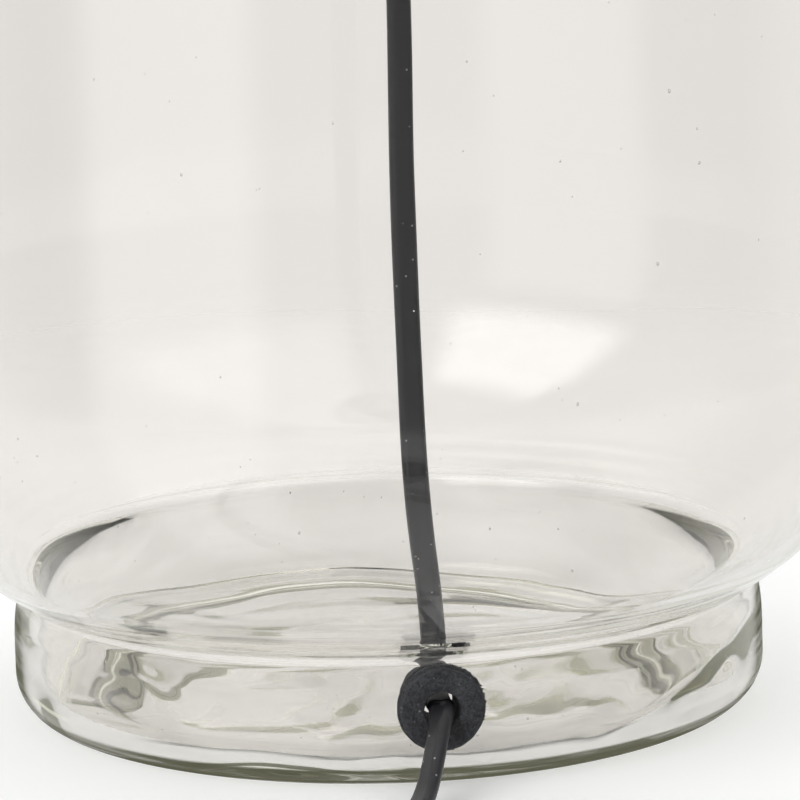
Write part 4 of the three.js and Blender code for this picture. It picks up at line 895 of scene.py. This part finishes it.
def glass_outside(glass):
    """The glass's outer outline from the middle of its underside up to the mouth."""
    _, top, body_radius = ends_of("glass_body")
    foot, edge = glass.foot_radius, glass.edge_radius
    waist, lip, lower, upper = glass_centres(glass, body_radius)
    rest = foot - edge - glass.rest_width
    hollow, hollow_rim = 0.86 * rest, 0.97 * rest
    side_end, side_bend = 0.55 * glass.foot_height, 0.8 * glass.foot_height
    lean = glass.lip_angle - QUARTER
    bead_middle = top - glass.bead_height / 2
    bead_start = top - glass.bead_height
    neck_start = bead_start - glass.neck_bead
    bead = glass.neck_radius + glass.neck_bead
    ledge = 0.0001
    groove_start = (waist + ledge, glass.foot_height - glass.groove_radius)
    slope = math.asin(glass.groove_radius / glass.lip_radius)
    groove_top = (waist + glass.groove_radius, lip[1] - glass.lip_radius * math.cos(slope))
    groove_turn = (waist, groove_top[1] - glass.groove_radius * math.tan(slope))
    return chained(
        straight((0, glass.kick), (hollow, glass.kick), 24),
        curved([(hollow, glass.kick), (hollow_rim, glass.kick), (rest, 0)], 10),
        straight((rest, 0), (foot - edge, 0), 3),
        arc((foot - edge, edge), edge, -QUARTER, 0, 12),
        straight((foot, edge), (foot, side_end), 4),
        curved([(foot, side_end), (foot, side_bend), groove_start], 8),
        curved([groove_start, groove_turn, groove_top], 10),
        arc(lip, glass.lip_radius, slope - QUARTER, lean, 4),
        arc(lower[:2], lower[2], lean, lean + glass.ring_span, 36),
        arc(lower[:2], lower[2], lean + glass.ring_span, 0, 18),
        straight((body_radius, lower[1]), (body_radius, upper[1]), 26),
        arc(upper, glass.shoulder_radius, 0, glass.shoulder_angle, 20),
        shoulder_to_neck(glass, upper, glass.shoulder_radius, glass.neck_radius, neck_start),
        curved([(glass.neck_radius, neck_start), (bead, bead_start), (bead, bead_middle)], 6),
        curved([(bead, bead_middle), (bead, top), (glass.neck_radius, top)], 8),
    )


def glass_centres(glass, body_radius):
    """The waist's radius, the centres of the lip and of the two shoulders, and the lower shoulder's radius."""
    waist = glass.foot_radius - glass.waist_step
    lip = (waist, glass.foot_height + glass.lip_radius)
    sine = math.sin(glass.lip_angle)
    lower_radius = (body_radius - waist - glass.lip_radius * sine) / (1 - sine)
    lower = (
        body_radius - lower_radius,
        lip[1] + (lower_radius - glass.lip_radius) * math.cos(glass.lip_angle), lower_radius,
    )
    return waist, lip, lower, (body_radius - glass.shoulder_radius, glass.shoulder_start)


def shoulder_to_neck(glass, centre, shoulder, neck, neck_start):
    """The curve from the shoulder's arc into the neck, which touches both."""
    outward_pull, upward_pull = 0.5, 0.6
    sine, cosine = math.sin(glass.shoulder_angle), math.cos(glass.shoulder_angle)
    start = (centre[0] + shoulder * cosine, centre[1] + shoulder * sine)
    reach = outward_pull * (start[0] - neck)
    leave = (start[0] - reach * sine, start[1] + reach * cosine)
    arrive = (neck, neck_start - upward_pull * (neck_start - start[1]))
    return curved([start, leave, arrive, (neck, neck_start)], 16)


def glass_inside(glass):
    """The glass's inner outline from the middle of its floor up to the mouth."""
    _, top, body_radius = ends_of("glass_body")
    bore = glass.foot_radius - glass.foot_wall
    _, _, lower, upper = glass_centres(glass, body_radius)
    rest = glass.foot_radius - glass.edge_radius - glass.rest_width
    corner = glass.inner_corner
    floor, floor_top = glass.floor_thickness, glass.floor_thickness + glass.floor_dome
    lean = glass.lip_angle - QUARTER
    lower_radius = lower[2] - glass.body_wall
    meet = (lower[0] + lower_radius * math.cos(lean), lower[1] + lower_radius * math.sin(lean))
    bend = meet[1] - (meet[0] - bore) * math.tan(glass.lip_angle)
    bend_start = bend - 0.004
    neck_start = top - glass.bead_height - glass.neck_bead - 0.004
    return chained(
        curved([(0, floor_top), (0.5 * rest, floor_top), (rest, floor)], 26),
        straight((rest, floor), (bore - corner, floor), 3),
        arc((bore - corner, floor + corner), corner, -QUARTER, 0, 8),
        straight((bore, floor + corner), (bore, bend_start), 4),
        curved([(bore, bend_start), (bore, bend), meet], 14),
        arc(lower[:2], lower_radius, lean, 0, 24),
        straight((body_radius - glass.body_wall, lower[1]), (body_radius - glass.body_wall, upper[1]), 26),
        arc(upper, glass.shoulder_radius - glass.body_wall, 0, glass.shoulder_angle, 18),
        shoulder_to_neck(glass, upper, glass.shoulder_radius - glass.body_wall, glass.neck_bore, neck_start),
        straight((glass.neck_bore, neck_start), (glass.neck_bore, top), 3),
    )


def waves(height, angle, phase):
    """A slow hand-made unevenness: sines round the glass whose phase drifts with the height."""
    return (
        0.45 * np.sin(3 * angle + 17 * height + phase)
        + 0.30 * np.sin(5 * angle - 29 * height + 2.3 * phase)
        + 0.15 * np.sin(8 * angle + 61 * height + 0.7 * phase)
        + 0.10 * np.sin(13 * angle - 88 * height + 1.9 * phase)
    )


def swirls(radius, angle, phase):
    """Drawn-out swirls in the floor: sines that spiral outwards, whose phase wanders slowly round."""
    wander = np.sin(angle + phase) + 0.6 * np.sin(2 * angle - 1.7 * phase)
    return (
        0.45 * np.sin(300 * radius + 2 * angle + 1.3 * wander)
        + 0.30 * np.sin(560 * radius - 3 * angle + phase + 1.9 * wander)
        + 0.25 * np.sin(990 * radius + 5 * angle + 2.1 * phase + 1.1 * wander)
    ) * (0.4 + 0.6 * np.sin(1.5 * angle + 0.4 * phase + 40 * radius) ** 2) * smooth(radius, 0.02, 0.055)


def tool_rings(height, angle, pitch):
    """Rings that a tool left round the glass: a sine of the height, whose phase and strength drift round it."""
    drift = 1.1 * np.sin(2 * angle + 0.8) + 0.7 * np.sin(3 * angle - 1.1)
    strength = 0.65 + 0.35 * np.sin(3 * angle + 2.0 + 90 * height)
    return strength * np.sin(FULL_TURN * height / pitch + drift)


def blown(outline, depth, phase, segments, floor_depth, ring_depth=None, ring_pitch=1.0):
    """An outline turned about the axis and pushed along its own normal by the waves, the swirls and the
    tooled rings, times depths that are given for each outline point."""
    tangent = np.gradient(outline, axis=0)
    tangent /= np.maximum(np.linalg.norm(tangent, axis=1, keepdims=True), 1e-12)
    normal = np.column_stack([tangent[:, 1], -tangent[:, 0]])
    angle = circle(segments)[None]
    push = depth[:, None] * waves(outline[:, 1:], angle, phase)
    push += floor_depth[:, None] * swirls(outline[:, :1], angle, phase)
    if ring_depth is not None:
        push += ring_depth[:, None] * tool_rings(outline[:, 1:], angle, ring_pitch)
    push *= smooth(outline[:, :1], 0.0, 0.03)
    radius = outline[:, :1] + push * normal[:, :1]
    height = outline[:, 1:] + push * normal[:, 1:]
    return round_axis(*np.broadcast_arrays(radius, angle, height))


def ball(rows, columns):
    """A unit sphere: the cosines and sines of the latitude and the longitude."""
    latitude, longitude = np.meshgrid(np.linspace(-QUARTER, QUARTER, rows), circle(columns), indexing="ij")
    return shell(round_axis(np.cos(latitude), longitude, np.sin(latitude)), wrap=(False, True))


def scattered(one, middles, sizes):
    """Copies of a shell round many middles, its points times the sizes of each copy."""
    points = middles[:, None] + one["points"] * sizes
    faces = one["faces"] + (np.arange(len(middles)) * len(one["points"]))[:, None, None]
    return {
        "points": points.reshape(-1, 3), "faces": faces.reshape(-1, 4), "uv": np.tile(one["uv"], (len(middles), 1)),
    }


# How many points of the glass's outlines lie under its foot and in its floor, where one height has two radii
OUTSIDE_BASE_POINTS = 38
INSIDE_BASE_POINTS = 31


def seed_shells(glass):
    """Air bubbles in the wall's thickness: small spheres, a little drawn out upwards, whose faces point
    into the air. Their places are a steady random draw over the angle and the height, with a share of them
    drawn again for the foot, where the glass is thick."""
    foot_share, foot_heights, lowest = 0.35, (0.008, 0.05), 0.012
    size_spread, wall_depths, stretches = 0.45, (0.3, 0.7), (1.0, 1.9)
    draw = np.random.default_rng(11)
    count = glass.seeds
    angle = draw.uniform(0, FULL_TURN, count)
    height = draw.uniform(lowest, glass.shoulder_start, count)
    height = np.where(draw.uniform(size=count) < foot_share, draw.uniform(*foot_heights, count), height)
    size = glass.seed_radius * draw.lognormal(0.0, size_spread, count)
    depth = draw.uniform(*wall_depths, count)
    stretch = draw.uniform(*stretches, count)
    outside = glass_outside(glass)[OUTSIDE_BASE_POINTS:]
    inside = glass_inside(glass)[INSIDE_BASE_POINTS:]
    outer = np.interp(height, outside[:, 1], outside[:, 0])
    inner = np.interp(height, inside[:, 1], inside[:, 0])
    middle = round_axis(inner + (outer - inner) * depth, angle, height)
    return scattered(ball(7, 8), middle, np.stack([size, size, size * stretch], axis=-1)[:, None])


class LAMP_OT_glass(LampOperator):
    """Blows the glass body: its outer and inner walls, the hole for the grommet, and seeds"""
    bl_idname = "lamp.glass"
    bl_label = "Glass body"
    segments = 224
    sharp_angle = math.radians(50)

    def build(self, scene):
        glass = scene.lamp_glass
        walls = np.concatenate([self.outer(glass), self.inner(glass)[::-1]])
        body = drilled(to_mesh("glass", shell(walls, wrap=(False, True))), glass)
        seeds = to_mesh("seeds", seed_shells(glass))
        work = bmesh.new()
        work.from_mesh(seeds)
        bmesh.ops.reverse_faces(work, faces=work.faces)
        work.from_mesh(body)
        work.to_mesh(body)
        work.free()
        bpy.data.meshes.remove(seeds)
        body.polygons.foreach_set("use_smooth", np.ones(len(body.polygons), bool))
        body.set_sharp_from_angle(angle=self.sharp_angle)
        place_piece("glass", body, "clear_glass", ["glass_body"], crisp=False)

    def outer(self, glass):
        """The outer wall. Its waves fade out at the neck, which the cap sits on, and under the foot."""
        neck_starts, foot_ends, stand, hollow = (0.35, 0.37), (0.03, 0.06), (0.0005, 0.006), (0.056, 0.062)
        phase, foot_share, ring_starts, ring_ends = 0.6, 0.2, (0.0, 0.0012), (0.006, 0.0102)
        outline = glass_outside(glass)
        radius, height = outline.T
        depth = glass.body_ripple + foot_share * glass.foot_ripple * (1 - smooth(height, *foot_ends))
        depth = (1 - smooth(height, *neck_starts)) * smooth(height, *stand) * depth
        under = (height < 1.01 * glass.kick) * (1 - smooth(radius, *hollow))
        low, high = (np.add(glass.foot_height, span) for span in (ring_starts, ring_ends))
        rings = smooth(height, *low) * (1 - smooth(height, *high))
        return blown(
            outline, depth, phase, self.segments, under * glass.floor_ripple,
            rings * glass.ring_depth, glass.ring_pitch,
        )

    def inner(self, glass):
        """The inner wall, with deeper waves than the outer one, and swirls in the floor."""
        neck_starts, foot_ends, floor_top, floor_ends = (0.34, 0.36), (0.03, 0.07), 0.012, (0.066, 0.078)
        phase, body_share = 3.9, 1.4
        outline = glass_inside(glass)
        radius, height = outline.T
        depth = body_share * glass.body_ripple + glass.foot_ripple * (1 - smooth(height, *foot_ends))
        depth = (1 - smooth(height, *neck_starts)) * depth
        floor = (height < floor_top) * (1 - smooth(radius, *floor_ends))
        return blown(outline, depth, phase, self.segments, floor * glass.floor_ripple)


def drilled(body, glass):
    """A copy of the glass with the grommet's hole cut through the foot's wall towards -Y."""
    hole_radius, clearance = 0.0065, 0.006
    height = (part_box("cord_grommet")[0].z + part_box("cord_grommet")[1].z) / 2
    near, far = glass.foot_radius - glass.foot_wall - clearance, glass.foot_radius + clearance
    angle = circle(64)
    rim = np.stack([hole_radius * np.cos(angle), 0 * angle, height + hole_radius * np.sin(angle)], axis=-1)
    middle = np.broadcast_to([0.0, 0.0, height], rim.shape)
    rows = np.stack([middle, rim, rim, middle])
    rows[:2, :, 1] = -near
    rows[2:, :, 1] = -far
    tool = bpy.data.objects.new("drill", to_mesh("drill", shell(rows, wrap=(False, True))))
    blank = bpy.data.objects.new("blank", body)
    for item in (tool, blank):
        bpy.context.scene.collection.objects.link(item)
    cut = blank.modifiers.new("hole", "BOOLEAN")
    cut.operation = "DIFFERENCE"
    cut.solver = "EXACT"
    cut.object = tool
    bpy.context.view_layer.update()
    result = bpy.data.meshes.new_from_object(blank.evaluated_get(bpy.context.evaluated_depsgraph_get()))
    for item in (tool, blank):
        bpy.data.objects.remove(item)
    return result


class LAMP_OT_grommet(LampOperator):
    """Moulds the rubber grommet in the foot's wall, with the torn flash round its back edge"""
    bl_idname = "lamp.grommet"
    bl_label = "Cord grommet"

    def build(self, scene):
        low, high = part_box("cord_grommet")
        flange = (high.x - low.x) / 2
        face, back = -low.y, -high.y
        bore, waist, thick, back_flange, step = 0.0039, 0.0062, 0.0029, 0.008, 0.0006
        outline = rounded([
            (bore, back, 0.0006), (back_flange, back, 0.0008), (back_flange, back + thick, 0.0003),
            (waist, back + thick, 0.0002), (waist, face - thick, 0.0002), (flange, face - thick, 0.0003),
            (flange, face - 0.0016, 0.0002), (flange - step, face - 0.0012, 0.0002), (flange - step, face, 0.0006),
            (bore, face, 0.0007),
        ], steps=5)
        surface = together(shell(turned(outline, 128, rubber_unevenness)), flash_crumbs(flange, face - thick))
        upright = Matrix.Translation((0, 0, (low.z + high.z) / 2)) @ Matrix.Rotation(QUARTER, 4, "X")
        surface["points"] = moved(surface["points"], upright)
        place_piece("grommet", to_mesh("grommet", surface), "black_rubber", ["cord_grommet"])


def rubber_unevenness(radius, level, angle):
    """A radius with a few hundredths of a millimetre of moulding unevenness, as sines of the angle, the
    level and the radius."""
    depth = 0.00003
    return radius + depth * (np.sin(7 * angle + 900 * level) + np.sin(17 * angle - 400 * radius))


def flash_crumbs(flange, level):
    """Torn rubber crumbs round the flange's back edge: small lumps at random angles, mostly along its
    upper right and at one spot below."""
    count, upper_share = 120, 0.86
    upper_spread, lower_spread = (math.radians(48), math.radians(34)), (math.radians(-72), math.radians(9))
    smallest, growth, sunk, reach, thickness = 0.00010, 0.00016, 0.0001, 0.0003, 0.0009
    draw = np.random.default_rng(5)
    upper = draw.normal(*upper_spread, count)
    angle = np.where(draw.uniform(size=count) < upper_share, upper, draw.normal(*lower_spread, count))
    size = smallest + growth * draw.uniform(size=count) ** 2
    out = flange - sunk + draw.uniform(0, reach, count)
    middle = round_axis(out, angle, level + draw.uniform(0.0, thickness, count))
    columns = 5
    one = ball(4, columns)
    uneven = draw.uniform(0.6, 1.7, (count, len(one["points"]), 1))
    uneven[:, :columns] = uneven[:, :1]
    uneven[:, -columns:] = uneven[:, -1:]
    return scattered(one, middle, size[:, None, None] * uneven)


def screw_thread(pitch, depth, low, high):
    """A shape whose radius falls and rises once a pitch: half of one less the cosine of the height less the
    angle's share of a turn, times the depth, faded out at both ends."""

    def shape(radius, height, angle):
        phase = height / pitch - angle / FULL_TURN
        groove = 0.5 - 0.5 * np.cos(FULL_TURN * phase)
        fade = smooth(height, low, low + pitch) * (1 - smooth(height, high - pitch, high))
        return radius - depth * groove * fade

    return shape


class LAMP_OT_neck(LampOperator):
    """Turns the fittings that close the neck: bung, washer, nuts, tube, bushing, seal, cap and stem"""
    bl_idname = "lamp.neck"
    bl_label = "Neck fittings"
    tube_hole = 0.0053
    tube_bore = 0.0039

    def build(self, scene):
        self.bung()
        self.tube(scene.lamp_fittings.thread_pitch)
        self.bushing()
        self.seal(scene.lamp_glass.neck_bore + 0.001)
        self.cap()
        self.stem()
        dress("brass", 0.0003, "bung_nut", "cap_nut")

    def bung(self):
        low, high, bulge = ends_of("neck_bung")
        add_turned("neck_bung", "black_rubber", rounded([
            (self.tube_hole, low, 0.0003), (bulge - 0.0006, low, 0.0012), (bulge, (low + high) / 2, 0.004),
            (bulge - 0.0002, high, 0.0008), (self.tube_hole, high, 0.0003),
        ], steps=5))
        low, high, outer = ends_of("bung_washer")
        add_turned("bung_washer", "zinc_steel", rounded([
            (self.tube_hole, low, 0.0002), (outer, low, 0.0004), (outer, high, 0.0004),
            (self.tube_hole, high, 0.0002),
        ]))

    def tube(self, pitch):
        low, high, outer = ends_of("threaded_tube")
        bore, bevel, rim = self.tube_bore, 0.0002, 0.0003
        outline = chained(
            straight((bore, high - bevel), (bore, low + bevel), 4),
            straight((bore + bevel, low), (outer - rim, low)),
            straight((outer, low + rim), (outer, high - rim), 430),
            straight((outer - rim, high), (bore + bevel, high)),
        )
        thread_depth = 0.0004
        thread = screw_thread(pitch, thread_depth, low, high)
        add_turned(
            "threaded_tube", "zinc_steel", outline, segments=40, crisp=False,
            shape=lambda r, z, a: np.where(r > outer - bevel, thread(r, z, a), r),
        )

    def bushing(self):
        low, high, flange = ends_of("tube_bushing")
        fit, bore, seat = self.tube_bore - 0.0001, 0.0033, low + 0.002
        add_turned("tube_bushing", "black_plastic", rounded([
            (bore, low, 0.0009), (flange, low, 0.0009), (flange, seat, 0.0003), (fit, seat, 0.0002),
            (fit, high, 0.0002), (bore, high, 0.0002),
        ]))

    def seal(self, inner):
        low, high, outer = ends_of("neck_seal")
        add_turned("neck_seal", "black_rubber", rounded([
            (inner, low, 0.0004), (outer, low, 0.0008), (outer, high, 0.0008), (inner, high, 0.0004),
        ]))

    def cap(self):
        low, high, outer = ends_of("neck_cap")
        wall, crown = 0.0012, 0.0135
        shelf = high - 0.007
        brim, brim_level = outer - 0.005, shelf + wall + 0.001
        top = chained(
            straight((outer, low + 0.0003), (outer, shelf - 0.002)),
            curved([(outer, shelf - 0.002), (outer, brim_level), (brim, brim_level)], 12),
            curved([(brim, brim_level), (crown + 0.003, brim_level), (crown, high)], 16),
            straight((crown, high), (self.tube_hole, high)),
        )
        under = rounded([
            (self.tube_hole, high, 0), (self.tube_hole, shelf, 0.0002), (outer - wall - 0.001, shelf, 0.0008),
            (outer - wall, shelf - 0.0015, 0.0008), (outer - wall, low, 0.0003), (outer, low, 0.0003),
            (outer, low + 0.0004, 0),
        ], closed=False)
        add_turned("neck_cap", "black_paint", chained(top, under[1:-1]), segments=160)

    def stem(self):
        low, high, outer = ends_of("stem_sleeve")
        inner, turned_down = outer - 0.0015, outer - 0.0008
        add_turned("stem_sleeve", "black_paint", rounded([
            (inner, low, 0.0002), (outer, low, 0.0004), (outer, low + 0.002, 0.0004),
            (turned_down, low + 0.003, 0.0006), (turned_down, high - 0.003, 0.0006),
            (outer, high - 0.002, 0.0004), (outer, high, 0.0004), (inner, high, 0.0002),
        ]))


class LAMP_OT_holder(LampOperator):
    """Builds the lampholder: cap, skirt, thread shell, shade ring, core, contacts and terminals"""
    bl_idname = "lamp.holder"
    bl_label = "Lampholder"

    def build(self, scene):
        self.cap()
        self.skirt()
        self.thread_shell(scene.lamp_fittings.socket_pitch)
        self.shade_ring(scene.lamp_fittings.ring_ribs)
        dress("ceramic", 0.0003, "holder_core")
        dress("brass", 0.0001, "centre_contact", "side_contact")
        dress("black_plastic", 0.0002, "cord_grip")
        dress("zinc_steel", 0.00015, "grip_screw", "cap_lock_screw")
        for side, insulation in (("live", "brown_insulation"), ("neutral", "blue_insulation")):
            dress("brass", 0.0002, side + "_terminal")
            dress("brass", 0.00015, side + "_rivet")
            dress("nickel", 0.00015, side + "_terminal_screw")
            dress(insulation, 0, side + "_core")

    @staticmethod
    def cap():
        low, high, outer = ends_of("holder_cap")
        hub, hole, wall = 0.0095, 0.0053, 0.0019
        inner, rise = outer - wall, low + 0.007
        shelf, bell, bell_inside = rise + wall - 0.002, rise + 0.008, rise + 0.009
        outline = chained(
            rounded([(hole, low, 0), (hub, low, 0.0006), (hub, rise - 0.002, 0)], closed=False),
            curved([(hub, rise - 0.002), (outer, rise), (outer, bell)], 18),
            rounded([
                (outer, bell, 0), (outer, high, 0.0004), (inner, high, 0.0002), (inner, bell_inside, 0),
            ], closed=False),
            curved([(inner, bell_inside), (inner, rise + 0.002), (hub, shelf)], 14),
            straight((hub, shelf), (hole, shelf)),
        )
        add_turned("holder_cap", "black_plastic", outline, segments=128)

    @staticmethod
    def skirt():
        low, high, seat_radius = ends_of("holder_skirt")
        outer = ends_of("holder_cap")[2]
        under, _, shell_radius = ends_of("thread_shell")
        inner, bore = outer - 0.0019, shell_radius + 0.0003
        seat = ends_of("shade_ring")[0] - 0.0003
        thread_low, thread_high = seat + 0.0004, high - 0.0018
        outline = chained(
            rounded([
                (inner, low, 0.0002), (outer, low, 0.0004), (outer, seat - 0.003, 0.0006),
                (seat_radius, seat - 0.0022, 0.0006), (seat_radius, seat, 0.0006), (outer, seat, 0.0003),
                (outer, thread_low, 0),
            ], closed=False),
            straight((outer, thread_low), (outer, thread_high), 140),
            rounded([
                (outer, thread_high, 0), (outer - 0.0003, high - 0.0014, 0.0004), (outer - 0.0015, high, 0.0005),
                (bore, high, 0.0005), (bore, under, 0.0002), (inner, under, 0.0002), (inner, low + 0.0004, 0),
            ], closed=False),
        )
        thread_pitch, thread_depth = 0.0025, 0.0008
        thread = screw_thread(thread_pitch, thread_depth, seat + 0.001, high - 0.002)
        add_turned(
            "holder_skirt", "black_plastic", outline,
            shape=lambda r, z, a: np.where((z > seat + 0.0005) & (r > outer - 0.0002), thread(r, z, a), r),
        )

    @staticmethod
    def thread_shell(pitch):
        """The lamp thread: a thin sheet whose radius is a cosine of the height less the angle's share of a
        turn, so that it winds up like a screw."""
        low, high, outer = ends_of("thread_shell")
        wall, minor = 0.0005, 0.01235
        middle, swing = (outer + minor) / 2 - wall / 2, (outer - wall - minor) / 2
        rows = straight((0, low), (0, high), 110)
        outline = np.vstack([rows + (middle + wall / 2, 0), rows[::-1] + (middle - wall / 2, 0)])

        def wound(radius, height, angle):
            return radius + swing * np.cos(FULL_TURN * (height / pitch - angle / FULL_TURN))

        add_turned("thread_shell", "nickel", outline, shape=wound, crisp=False)

    @staticmethod
    def shade_ring(ribs):
        """The ring that clamps a shade. The grooves between its grip ribs are the cube of a raised cosine of
        the angle, times their depth."""
        low, high, outer = ends_of("shade_ring")
        bore = ends_of("holder_cap")[2] + 0.0003
        collar, flange, rib_depth = 0.0235, low + 0.0026, 0.0007
        collar_low, collar_top = flange + 0.0008, (collar - 0.0006, high - 0.001)
        outline = chained(
            rounded([
                (bore, low, 0.0003), (outer, low, 0.0007), (outer, flange, 0.0009), (collar, flange, 0.0004),
                (collar, collar_low, 0),
            ], closed=False),
            straight((collar, collar_low), collar_top, 10),
            rounded([
                (*collar_top, 0), (collar - 0.0014, high, 0.0005), (bore, high, 0.0004), (bore, low + 0.0004, 0),
            ], closed=False),
        )

        def ribbed(radius, height, angle):
            on_collar = (radius > collar - 0.0008) & (radius < collar + 0.0001)
            fade = smooth(height, flange + 0.0004, flange + 0.0012)
            groove = rib_depth * (0.5 + 0.5 * np.cos(ribs * angle)) ** 3
            return radius - np.where(on_collar, groove * fade, 0)

        add_turned("shade_ring", "black_plastic", outline, segments=360, shape=ribbed, body="ring")


class LAMP_OT_switch(LampOperator):
    """Builds the in-line switch on the lead: base, cover, rocker, contacts and screws"""
    bl_idname = "lamp.switch"
    bl_label = "In-line switch"

    def build(self, scene):
        dress("black_plastic", 0.0005, "switch_base", "switch_cover")
        dress("black_plastic", 0.0004, "switch_rocker", body="rocker")
        dress("brass", 0.0001, "rocker_contact", body="rocker")
        dress("brass", 0.0001, "blade_in", "blade_out")
        dress("blue_insulation", 0, "through_core")
        dress("zinc_steel", 0.0002, "switch_screw_left", "switch_screw_right")


class LAMP_OT_plug(LampOperator):
    """Builds the flat two-pin plug and its ribbed strain relief"""
    bl_idname = "lamp.plug"
    bl_label = "Plug"

    def build(self, scene):
        dress("black_plastic", 0.0005, "plug_body")
        dress("black_rubber", 0.0003, "plug_relief")
        dress("nickel", 0.0002, "plug_pin_left", "plug_pin_right")


# Soft panels round the lamp: middle azimuth, width, lowest and highest elevation and softness of the edge,
# all in degrees, and the radiance. Azimuth 0 is the side that the lead leaves on.
PANELS = [
    (-50, 46, 31, 61, 6, 3.1),
    (34, 62, 36, 84, 8, 0.9),
    (-52, 38, -60, 22, 5, 0.8),
    (160, 90, 35, 75, 12, 0.5),
    (0, 400, 70, 110, 14, 0.5),
]


def panel_window(sheet, azimuth, elevation, middle, width, low, high, soft):
    """1 inside a window of the sky, softly falling to 0 at its edges. All angles are in degrees."""
    across = sheet.node("Math", {0: azimuth - middle, 1: 180.0, 2: -180.0}, operation="WRAP")
    across = sheet.fall(abs(across), width / 2 - soft, width / 2 + soft)
    above = sheet.smooth_step(elevation, low - soft, low + soft)
    return across * above * sheet.fall(elevation, high - soft, high + soft)


class LAMP_OT_stage(LampOperator):
    """Lays the pale floor and hangs the soft panels round the lamp"""
    bl_idname = "lamp.stage"
    bl_label = "Stage"

    def build(self, scene):
        self.floor(scene.lamp_stage.floor_lift)
        self.surroundings(scene, scene.lamp_stage)
        scene.view_settings.view_transform = "Standard"

    @staticmethod
    def floor(lift):
        """A round sheet of pale paper that fades out towards its rim, and is half clear to mirrored rays."""
        reach, fade_start, below, mirror_fade = 0.46, 0.30, 0.00005, 0.6
        material = bpy.data.materials.new("pale_floor")
        material.use_nodes = True
        sheet = Sheet(material.node_tree)
        where = sheet.place()
        paper = sheet.node("BsdfPrincipled", {
            "Base Color": sheet.mix(sheet.noise(where, 30.0), (0.96, 0.96, 0.96), (1.0, 1.0, 1.0)),
            "Roughness": 0.9,
            "Specular IOR Level": 0.1,
            "Emission Color": sheet.mix(sheet.light_path("Is Camera Ray"), (0, 0, 0), (lift, lift, lift)),
            "Emission Strength": 1.0,
        })
        mirrored = sheet.light_path("Glossy Depth") > 0.5
        edge = sheet.smooth_step(sheet.length(where), fade_start, reach).maximum(mirrored * mirror_fade)
        clear = sheet.node("BsdfTransparent")
        sheet.node("OutputMaterial", {
            "Surface": sheet.node("MixShader", {0: edge, 1: paper, 2: clear}),
        })
        radius = np.array([0, 0.1, 0.3, reach])[:, None]
        angle = circle(64)[None]
        points = round_axis(radius, angle, 0 * radius * angle - below)
        floor = bpy.data.objects.new("floor", to_mesh("floor", shell(points, wrap=(False, True))))
        floor.data.materials.append(material)
        bpy.context.scene.collection.objects.link(floor)

    @staticmethod
    def surroundings(scene, stage):
        """Hangs the world. What the camera sees beside the lamp, or straight through its glass, is a plain
        pale backdrop. What lights the lamp, or is mirrored in it, is a studio with soft panels."""
        degrees = 180 / math.pi
        backdrop, wings_in, wings_out, wing_top = (75.0, 115.0), (55.0, 80.0), (95.0, 125.0), (25.0, 45.0)
        bent_glass, clear_glass, wall_crossings, wing_shade = (90.0, 125.0), (-30.0, -20.0), 3.5, 0.85
        scene.world = bpy.data.worlds.new("studio")
        scene.world.use_nodes = True
        sheet = Sheet(scene.world.node_tree)
        step, fall, path = sheet.smooth_step, sheet.fall, sheet.light_path
        direction = sheet.node("TexCoord")
        x, y, z = (sheet.node("SeparateXYZ", {0: direction}, out=axis) for axis in "XYZ")
        elevation = sheet.node("Math", {0: z}, operation="ARCSINE") * degrees
        azimuth = sheet.node("Math", {0: x, 1: y * -1.0}, operation="ARCTAN2") * degrees
        aside = abs(azimuth)
        wings = step(aside, *wings_in) * fall(aside, *wings_out) * fall(elevation, *wing_top)
        room = step(aside, *backdrop) * (stage.tone - stage.dimness) + stage.dimness
        room = room - wings * (wing_shade * stage.dimness)
        for middle, width, low, high, soft, power in PANELS:
            room = panel_window(sheet, azimuth, elevation, middle, width, low, high, soft) * power + room
        mirrored = path("Glossy Depth") + path("Diffuse Depth")
        clear = step(elevation, *clear_glass) * (path("Transmission Depth") > wall_crossings)
        clear = clear.maximum(step(aside, *bent_glass))
        seen = path("Is Camera Ray") + path("Is Transmission Ray") * (mirrored < 0.5) * clear
        shown = seen * stage.tone + (1 - seen) * room
        tone = sheet.node("CombineColor", {"Red": shown, "Green": shown, "Blue": shown})
        light = sheet.node("Background", {"Color": tone})
        sheet.node("OutputWorld", {"Surface": light})


OPERATORS = [
    LAMP_OT_finishes, LAMP_OT_camera, LAMP_OT_switch, LAMP_OT_plug, LAMP_OT_lead, LAMP_OT_glass,
    LAMP_OT_inner_lead, LAMP_OT_grommet, LAMP_OT_neck, LAMP_OT_holder, LAMP_OT_stage,
]


class LAMP_PT_panel(bpy.types.Panel):
    """Lists the lamp's sizes and the steps that build it"""
    bl_idname = "LAMP_PT_panel"
    bl_label = "Glass Table Lamp"
    bl_space_type = "VIEW_3D"
    bl_region_type = "UI"
    bl_category = "Lamp"

    def draw(self, context):
        for group in SETTINGS:
            column = self.layout.column(align=True)
            settings = getattr(context.scene, group)
            for name in settings.bl_rna.properties.keys():
                if name not in ("rna_type", "name"):
                    column.prop(settings, name)
        for operator in OPERATORS:
            self.layout.operator(operator.bl_idname)


def register():
    for group in SETTINGS.values():
        bpy.utils.register_class(group)
    for name, group in SETTINGS.items():
        setattr(bpy.types.Scene, name, PointerProperty(type=group))
    for item in (*OPERATORS, LAMP_PT_panel):
        bpy.utils.register_class(item)


def unregister():
    for item in (LAMP_PT_panel, *reversed(OPERATORS)):
        bpy.utils.unregister_class(item)
    for name in SETTINGS:
        delattr(bpy.types.Scene, name)
    for group in reversed(list(SETTINGS.values())):
        bpy.utils.unregister_class(group)


def main():
    register()
    for operator in OPERATORS:
        step = operator.bl_idname.split(".")[1]
        getattr(bpy.ops.lamp, step)()


if __name__ == "__main__":
    main()
